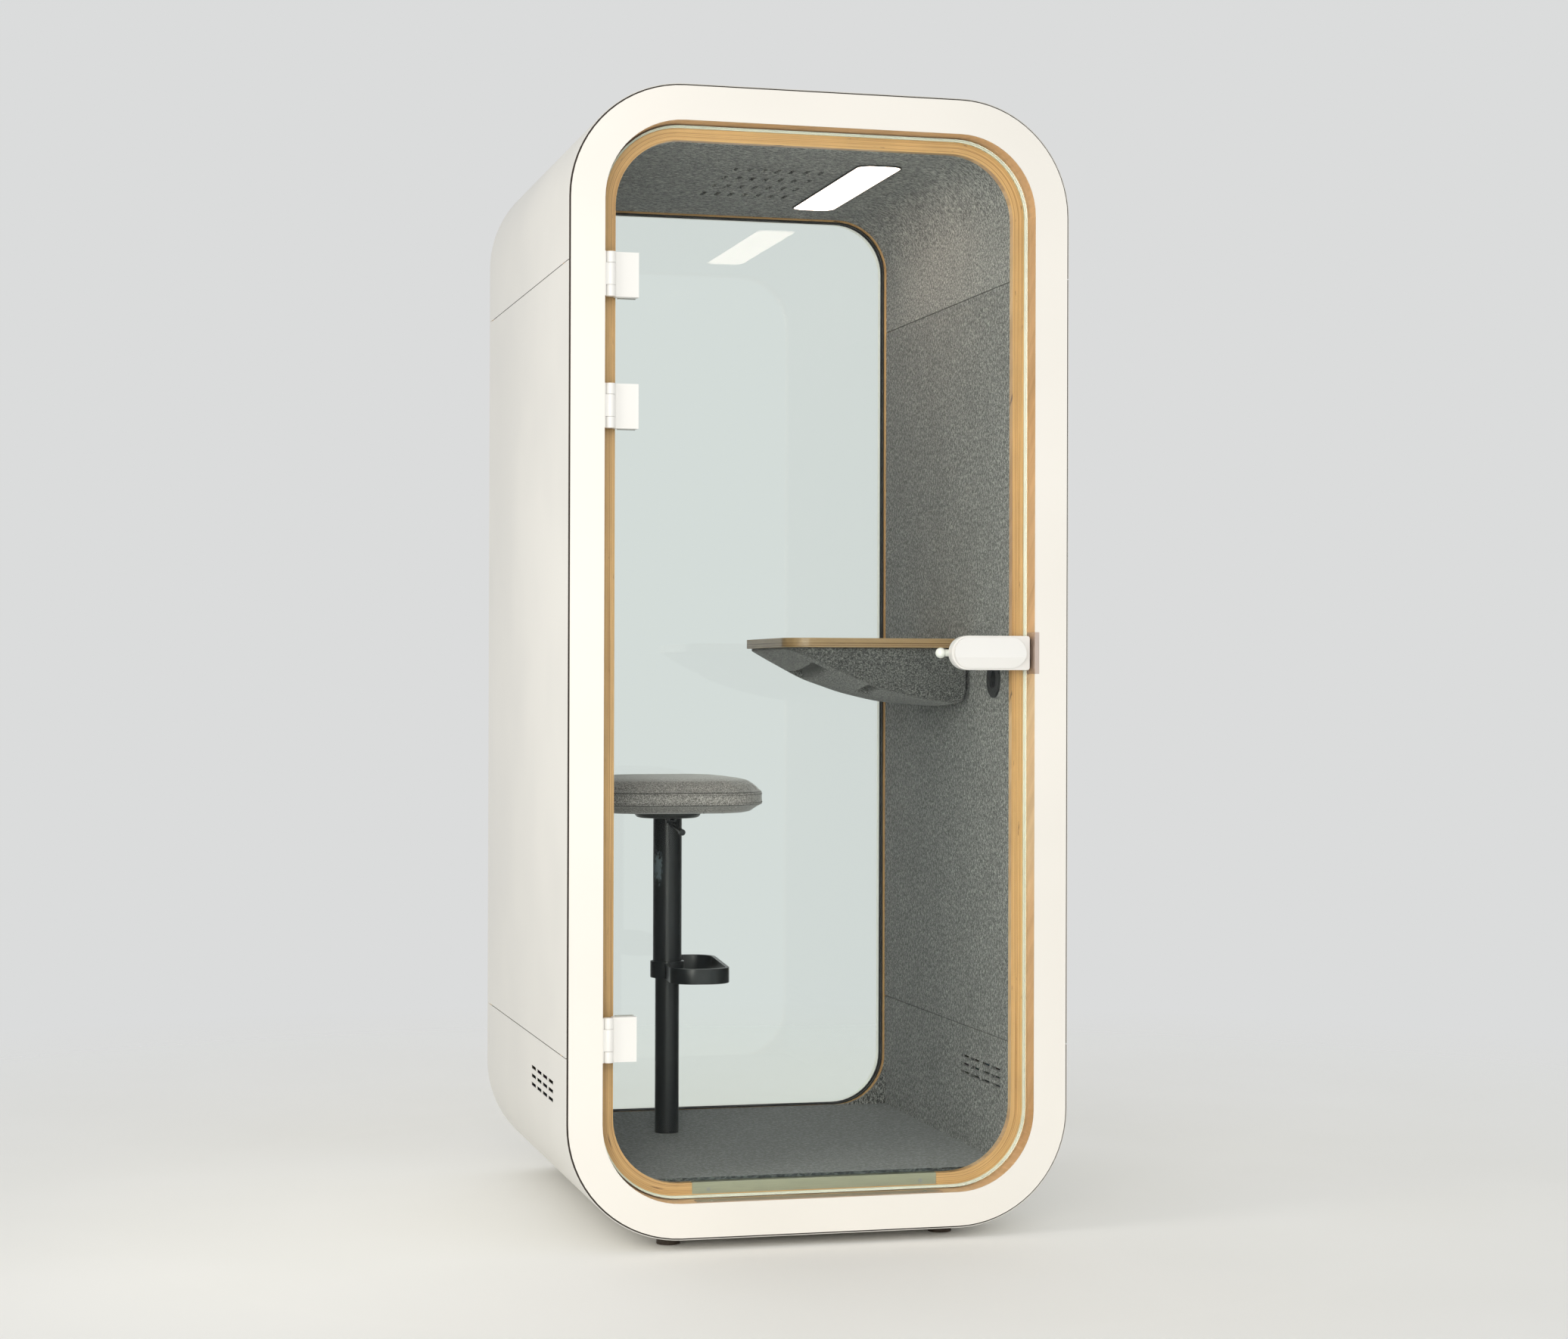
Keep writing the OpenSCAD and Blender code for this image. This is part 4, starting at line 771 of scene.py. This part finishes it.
def stitch_tree():
    """Short rounded stitches laid end to end along an edge loop."""
    tree = bpy.data.node_groups.new("stitch_row", "GeometryNodeTree")
    face = tree.interface
    face.new_socket("Geometry", in_out="INPUT", socket_type="NodeSocketGeometry")
    for label in ("Pitch", "Length", "Thickness"):
        face.new_socket(label, in_out="INPUT", socket_type="NodeSocketFloat")
    face.new_socket("Thread", in_out="INPUT", socket_type="NodeSocketMaterial")
    face.new_socket("Geometry", in_out="OUTPUT", socket_type="NodeSocketGeometry")
    nodes, links = tree.nodes, tree.links
    given, result = nodes.new("NodeGroupInput"), nodes.new("NodeGroupOutput")
    line = nodes.new("GeometryNodeMeshToCurve")
    links.new(given.outputs["Geometry"], line.inputs["Mesh"])
    spots = nodes.new("GeometryNodeCurveToPoints")
    spots.mode = "LENGTH"
    links.new(line.outputs["Curve"], spots.inputs["Curve"])
    links.new(given.outputs["Pitch"], spots.inputs["Length"])
    bead = nodes.new("GeometryNodeMeshUVSphere")
    bead.inputs["Segments"].default_value = 6
    bead.inputs["Rings"].default_value = 5
    bead.inputs["Radius"].default_value = 0.5
    size = nodes.new("ShaderNodeCombineXYZ")
    links.new(given.outputs["Thickness"], size.inputs[0])
    links.new(given.outputs["Thickness"], size.inputs[1])
    links.new(given.outputs["Length"], size.inputs[2])
    shape = nodes.new("GeometryNodeTransform")
    links.new(bead.outputs["Mesh"], shape.inputs["Geometry"])
    links.new(size.outputs[0], shape.inputs["Scale"])
    laid = nodes.new("GeometryNodeInstanceOnPoints")
    links.new(spots.outputs["Points"], laid.inputs["Points"])
    links.new(spots.outputs["Rotation"], laid.inputs["Rotation"])
    links.new(shape.outputs["Geometry"], laid.inputs["Instance"])
    real = nodes.new("GeometryNodeRealizeInstances")
    links.new(laid.outputs["Instances"], real.inputs["Geometry"])
    dyed = nodes.new("GeometryNodeSetMaterial")
    links.new(real.outputs["Geometry"], dyed.inputs["Geometry"])
    links.new(given.outputs["Thread"], dyed.inputs["Material"])
    links.new(dyed.outputs["Geometry"], result.inputs["Geometry"])
    return tree


def lay(obj, tree, name, **values):
    """Run a tree on an object with its named inputs and keep the mesh it makes."""
    grown = obj.modifiers.new("grown", "NODES")
    grown.node_group = tree
    for item in tree.interface.items_tree:
        if item.in_out == "INPUT" and item.name in values:
            grown[item.identifier] = values[item.name]
    return baked(obj, name)


def join(objects, name):
    """One mesh object from several."""
    work = bmesh.new()
    material = objects[0].data.materials[0] if objects[0].data.materials else None
    for obj in objects:
        work.from_mesh(obj.data)
        bpy.data.objects.remove(obj)
    mesh = bpy.data.meshes.new(name)
    work.to_mesh(mesh)
    work.free()
    if material:
        mesh.materials.append(material)
    made = bpy.data.objects.new(name, mesh)
    bpy.context.scene.collection.objects.link(made)
    return made


def lathe(name, profile, centre, steps=96):
    """A closed ring turned about an upright axis from (radius, height) pairs."""
    count = len(profile)
    verts = []
    for k in range(steps):
        a = 2 * math.pi * k / steps
        verts += [(centre.x + r * math.cos(a), centre.y + r * math.sin(a), z) for r, z in profile]
    faces = [
        (k * count + j, k * count + (j + 1) % count,
         (k + 1) % steps * count + (j + 1) % count, (k + 1) % steps * count + j)
        for k in range(steps) for j in range(count)
    ]
    obj = make_object(name, verts, faces)
    out_facing(obj)
    return obj


DISH_RIM_R = 0.0135
DISH_FLAT = 0.058
DISH_INNER = 0.050
DISH_ARC_STEP = -9.0


def make_dish(finishes):
    """Pressed steel dish whose rounded rim covers the seat plate."""
    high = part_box("seat_plate")[1]
    centre = middle_of("seat_plate")
    top = high.z - 0.0002
    hub = high.z - 0.002
    arc = []
    for k in range(11):
        out, up = on_circle(DISH_RIM_R, math.radians(DISH_ARC_STEP * k))
        arc.append((DISH_FLAT + out, hub + up - 0.0005))
    floor = hub - DISH_RIM_R
    profile = [(DISH_INNER, top), (DISH_FLAT + DISH_RIM_R, top), *arc]
    profile += [(DISH_INNER + 0.002, floor), (DISH_INNER, floor + 0.0012)]
    dish = lathe("seat_dish", profile, centre)
    dress(dish, finishes["dish_coat"])
    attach(dish, "seat")


def make_loose_threads(finishes):
    """Short ends of thread that hang from the pad's tucked underside."""
    parts = []
    reach = SEAT_HALF - 0.020
    steps, sides = 6, 6
    for angle, length in THREAD_ENDS:
        a = math.radians(angle)
        out_x, out_y = on_circle(reach, a)
        foot = Vector((SEAT_MIDDLE.x + out_x, SEAT_MIDDLE.y + out_y, SEAT_LOW.z + 0.003))
        verts = []
        for k in range(steps + 1):
            t = k / steps
            spot = foot + Vector((0.004 * t * t * math.cos(a), 0.002 * t, -length * t))
            r = THREAD_R * (1 - 0.5 * t)
            verts += [spot + Vector((*on_circle(r, 2 * math.pi * j / sides), 0)) for j in range(sides)]
        faces = tube_faces(steps + 1, sides)
        faces += [tuple(range(sides)), tuple(range(steps * sides, (steps + 1) * sides))]
        parts.append(make_object("thread_end", verts, faces))
    threads = join(parts, "loose_threads")
    out_facing(threads)
    dress(threads, finishes["lint"])
    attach(threads, "seat")


def make_seat(finishes):
    """The upholstered pad, its rows of stitches, the dish and the loose threads under its edge."""
    pad = pull_in_seams(fill_with_foam(cushion_blank()))
    dress(pad, finishes["seat_felt"])
    low, high = seam_heights()
    tree = stitch_tree()
    rows = []
    for height in (high - STITCH_FROM_SEAM, low + STITCH_FROM_SEAM):
        path = closed_line("stitch_path", seam_path(pad, height, 0.0001))
        row = lay(path, tree, "stitch_row", Pitch=STITCH_PITCH, Length=STITCH_LENGTH,
                  Thickness=STITCH_THICKNESS, Thread=finishes["thread"])
        rows.append(row)
    stitches = join(rows, "seat_stitches")
    dress(stitches, finishes["thread"])
    shade_smooth(stitches)
    for piece in (pad, stitches):
        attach(piece, "seat")
    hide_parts("seat_cushion")
    make_dish(finishes)
    make_loose_threads(finishes)


# ---------------------------------------------------------------- table tray

# the tray's outline from its tip to the wall, as pairs of x and height
TRAY_CREASE = (
    (0.014, 1.1535), (0.036, 1.1420), (0.066, 1.1290),
    (0.202, 1.0700), (0.304, 1.0470), (0.392, 1.0385),
)
TRAY_KEEL = (
    (0.014, 1.1500), (0.036, 1.1260), (0.100, 1.0880),
    (0.180, 1.0615), (0.260, 1.0430), (0.392, 1.0320),
)
TRAY_EASE = 0.022
TRAY_EASE_WEIGHTS = (1, 2, 3, 4, 4, 4, 3, 2, 1)
TRAY_LEAN = 0.003
TRAY_FOLD_R = 0.010
TRAY_WALL_GAP = 0.004
TRAY_WALL_R = 0.020
TRAY_STATIONS = 150
# painted light on the tray's underside, painted shade on its folded front and in its pockets
TRAY_SHADE = {"under": 1.32, "front": 0.55, "pocket": 0.78}
TRAY_POCKETS = (
    # middle x, middle y, half length in x, half length in y, depth
    (0.086, -0.054, 0.016, 0.104, 0.019),
    (0.196, -0.128, 0.013, 0.050, 0.014),
    (0.196, 0.128, 0.013, 0.050, 0.014),
)


def along_curve(table, x):
    """The value at x on the straight lines between a table's points."""
    if x <= table[0][0]:
        return table[0][1]
    for (x0, v0), (x1, v1) in zip(table, table[1:]):
        if x <= x1:
            t = (x - x0) / (x1 - x0)
            return v0 + (v1 - v0) * t
    return table[-1][1]


def soft_step(value):
    value = min(1.0, max(0.0, value))
    return value * value * (3 - 2 * value)


def smooth_curve(table, x):
    """The table's line with its corners eased over a short reach."""
    spots = zip(range(-4, 5), TRAY_EASE_WEIGHTS)
    return sum(along_curve(table, x + TRAY_EASE * k / 4) * w for k, w in spots) / 24


def pocket_lift(x, y):
    lift = 0.0
    for px, py, half_x, half_y, depth in TRAY_POCKETS:
        inside = min(half_x - abs(x - px), half_y - abs(y - py))
        lift = max(lift, depth * soft_step((inside + 0.002) / 0.0045))
    return lift


def tray_half(x):
    """Half the tray's width at x: rounded at the tip's corners, straight after them."""
    turn = max(0.0, TRAY_LOW.x + TRAY_CORNER_R - x)
    return TRAY_HIGH.y - TRAY_CORNER_R + math.sqrt(max(0.0, TRAY_CORNER_R ** 2 - turn ** 2))


def tray_section(x, half, wall_end):
    """Points across the tray from one upper edge to the other, folded at the crease."""
    top = TRAY_HIGH.z - 0.0003
    crease = min(smooth_curve(TRAY_CREASE, x) + wall_end, top - 0.002)
    keel = min(smooth_curve(TRAY_KEEL, x) + wall_end, top - 0.004)
    keel = min(keel, crease)
    fold = min(TRAY_FOLD_R, (top - crease) * 0.45)
    points = []
    for k in range(7):
        points.append((half - TRAY_LEAN * k / 6 * (top - crease) / 0.1, top + (crease + fold - top) * k / 6))
    edge = points[-1][0]
    for k in range(1, 6):
        a = math.radians(80) * k / 5
        points.append((edge - fold * (1 - math.cos(a)), crease + fold * (1 - math.sin(a))))
    start_y, start_z = points[-1]
    steps = 44
    for k in range(1, steps + 1):
        t = k / steps
        y = start_y * (1 - t)
        z = start_z + (keel - start_z) * math.sin(t * math.pi / 2) ** 0.9
        points.append((y, z))
    near = [(-y, z) for y, z in points]
    far = [(y, z) for y, z in reversed(points[:-1])]
    return near + far


def shade_tray(tray):
    """Painted shade on the folded sides and in the pockets and painted light on the underside, kept as the
    shade attribute.
    """
    deepest = max(pocket[4] for pocket in TRAY_POCKETS)
    shade = tray.data.attributes.new("shade", "FLOAT", "POINT")
    for spot, vertex in zip(shade.data, tray.data.vertices):
        x, y = vertex.co[:2]
        upright = soft_step((abs(y) - tray_half(x) + 0.012) / 0.007)
        sunk = pocket_lift(x, y) / deepest if upright < 0.5 else 0.0
        side = TRAY_SHADE["under"] * (1 - upright) + TRAY_SHADE["front"] * upright
        spot.value = side * (1 - TRAY_SHADE["pocket"] * min(1.0, sunk))


def make_tray(finishes):
    """Folded felt tray under the table with its fixing pockets."""
    wall = TRAY_HIGH.x - TRAY_WALL_GAP
    rings = []
    for k in range(TRAY_STATIONS + 1):
        x = TRAY_LOW.x + (wall - TRAY_LOW.x) * k / TRAY_STATIONS
        half = tray_half(x)
        into_corner = max(0.0, x - (wall - TRAY_WALL_R))
        wall_end = TRAY_WALL_R - math.sqrt(max(0.0, TRAY_WALL_R ** 2 - into_corner ** 2))
        ring = []
        for y, z in tray_section(x, half, wall_end):
            ring.append((x, y, z + (pocket_lift(x, y) if abs(y) < half - 0.012 else 0.0)))
        rings.append(ring)
    width = len(rings[0])
    verts = [v for ring in rings for v in ring]
    faces = [
        (r * width + k, r * width + k + 1, (r + 1) * width + k + 1, (r + 1) * width + k)
        for r in range(len(rings) - 1) for k in range(width - 1)
    ]
    faces += [((r + 1) * width, r * width, r * width + width - 1, (r + 1) * width + width - 1)
              for r in range(len(rings) - 1)]
    faces.append(tuple(range(width)))
    last = (len(rings) - 1) * width
    faces.append(tuple(reversed(range(last, last + width))))
    tray = make_object("felt_tray", verts, faces)
    out_facing(tray)
    # paint light and shade onto the tray's felt
    shade_tray(tray)
    dress(tray, finishes["tray_felt"])
    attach(tray, "cabin")
    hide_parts("table_tray")


# ---------------------------------------------------------------- stage and light

STAGE_R = 4.5
AIR = (219, 220, 220)
FRONT_LAMP = (1.0, 0.95, 0.88)
SIDE_LAMP = (1.0, 0.95, 0.87)


def make_stage():
    """Pale floor disc that fades out into the air of the studio."""
    f = Finish("stage_paper", roughness=0.8)
    mottle = f.noise(f.place, scale=1.3, detail=2.0)
    f.colour(f.ramp(mottle, (0.3, rgb(250, 249, 244)), (0.7, rgb(253, 252, 248))))
    clear = f.node("ShaderNodeBsdfTransparent")
    away = f.node("ShaderNodeVectorMath", {0: f.place}, operation="LENGTH").outputs["Value"]
    fade = f.ramp(f.math("DIVIDE", away, 6.0), (0.22, 0.0), (0.62, 1.0))
    mix = f.node("ShaderNodeMixShader", {0: fade, 1: f.shader.outputs[0], 2: clear.outputs[0]})
    f.tree.links.new(mix.outputs[0], f.tree.nodes["Material Output"].inputs["Surface"])
    steps = 96
    verts = [(*on_circle(STAGE_R, 2 * math.pi * k / steps), 0.0) for k in range(steps)]
    floor = make_object("stage_floor", verts, [tuple(range(steps))], smooth=False)
    dress(floor, f.material)


def make_light():
    """Even pale air, a warm soft lamp in front and a low one near the left front."""
    world = bpy.data.worlds.new("studio_air")
    bpy.context.scene.world = world
    world.use_nodes = True
    air = world.node_tree.nodes["Background"]
    air.inputs[0].default_value = rgb(*AIR)
    air.inputs[1].default_value = 1.0
    middle = (0.0, 0.0, 1.1)
    make_lamp("front_soft", (-1.9, -5.2, 1.7), middle, (2.6, 2.4), 66.0, FRONT_LAMP)
    make_lamp("left_soft", (-2.0, -1.1, 1.5), (-0.5, -0.3, 1.2), (0.9, 2.0), 5.5, SIDE_LAMP,
              spread=100.0)
    bpy.context.scene.view_settings.view_transform = "Standard"


# ---------------------------------------------------------------- assembly

make_camera()
make_light()
make_stage()
FINISHES = make_finishes()
dress_nodes(FINISHES)
ease_edges()
make_seat(FINISHES)
make_tray(FINISHES)
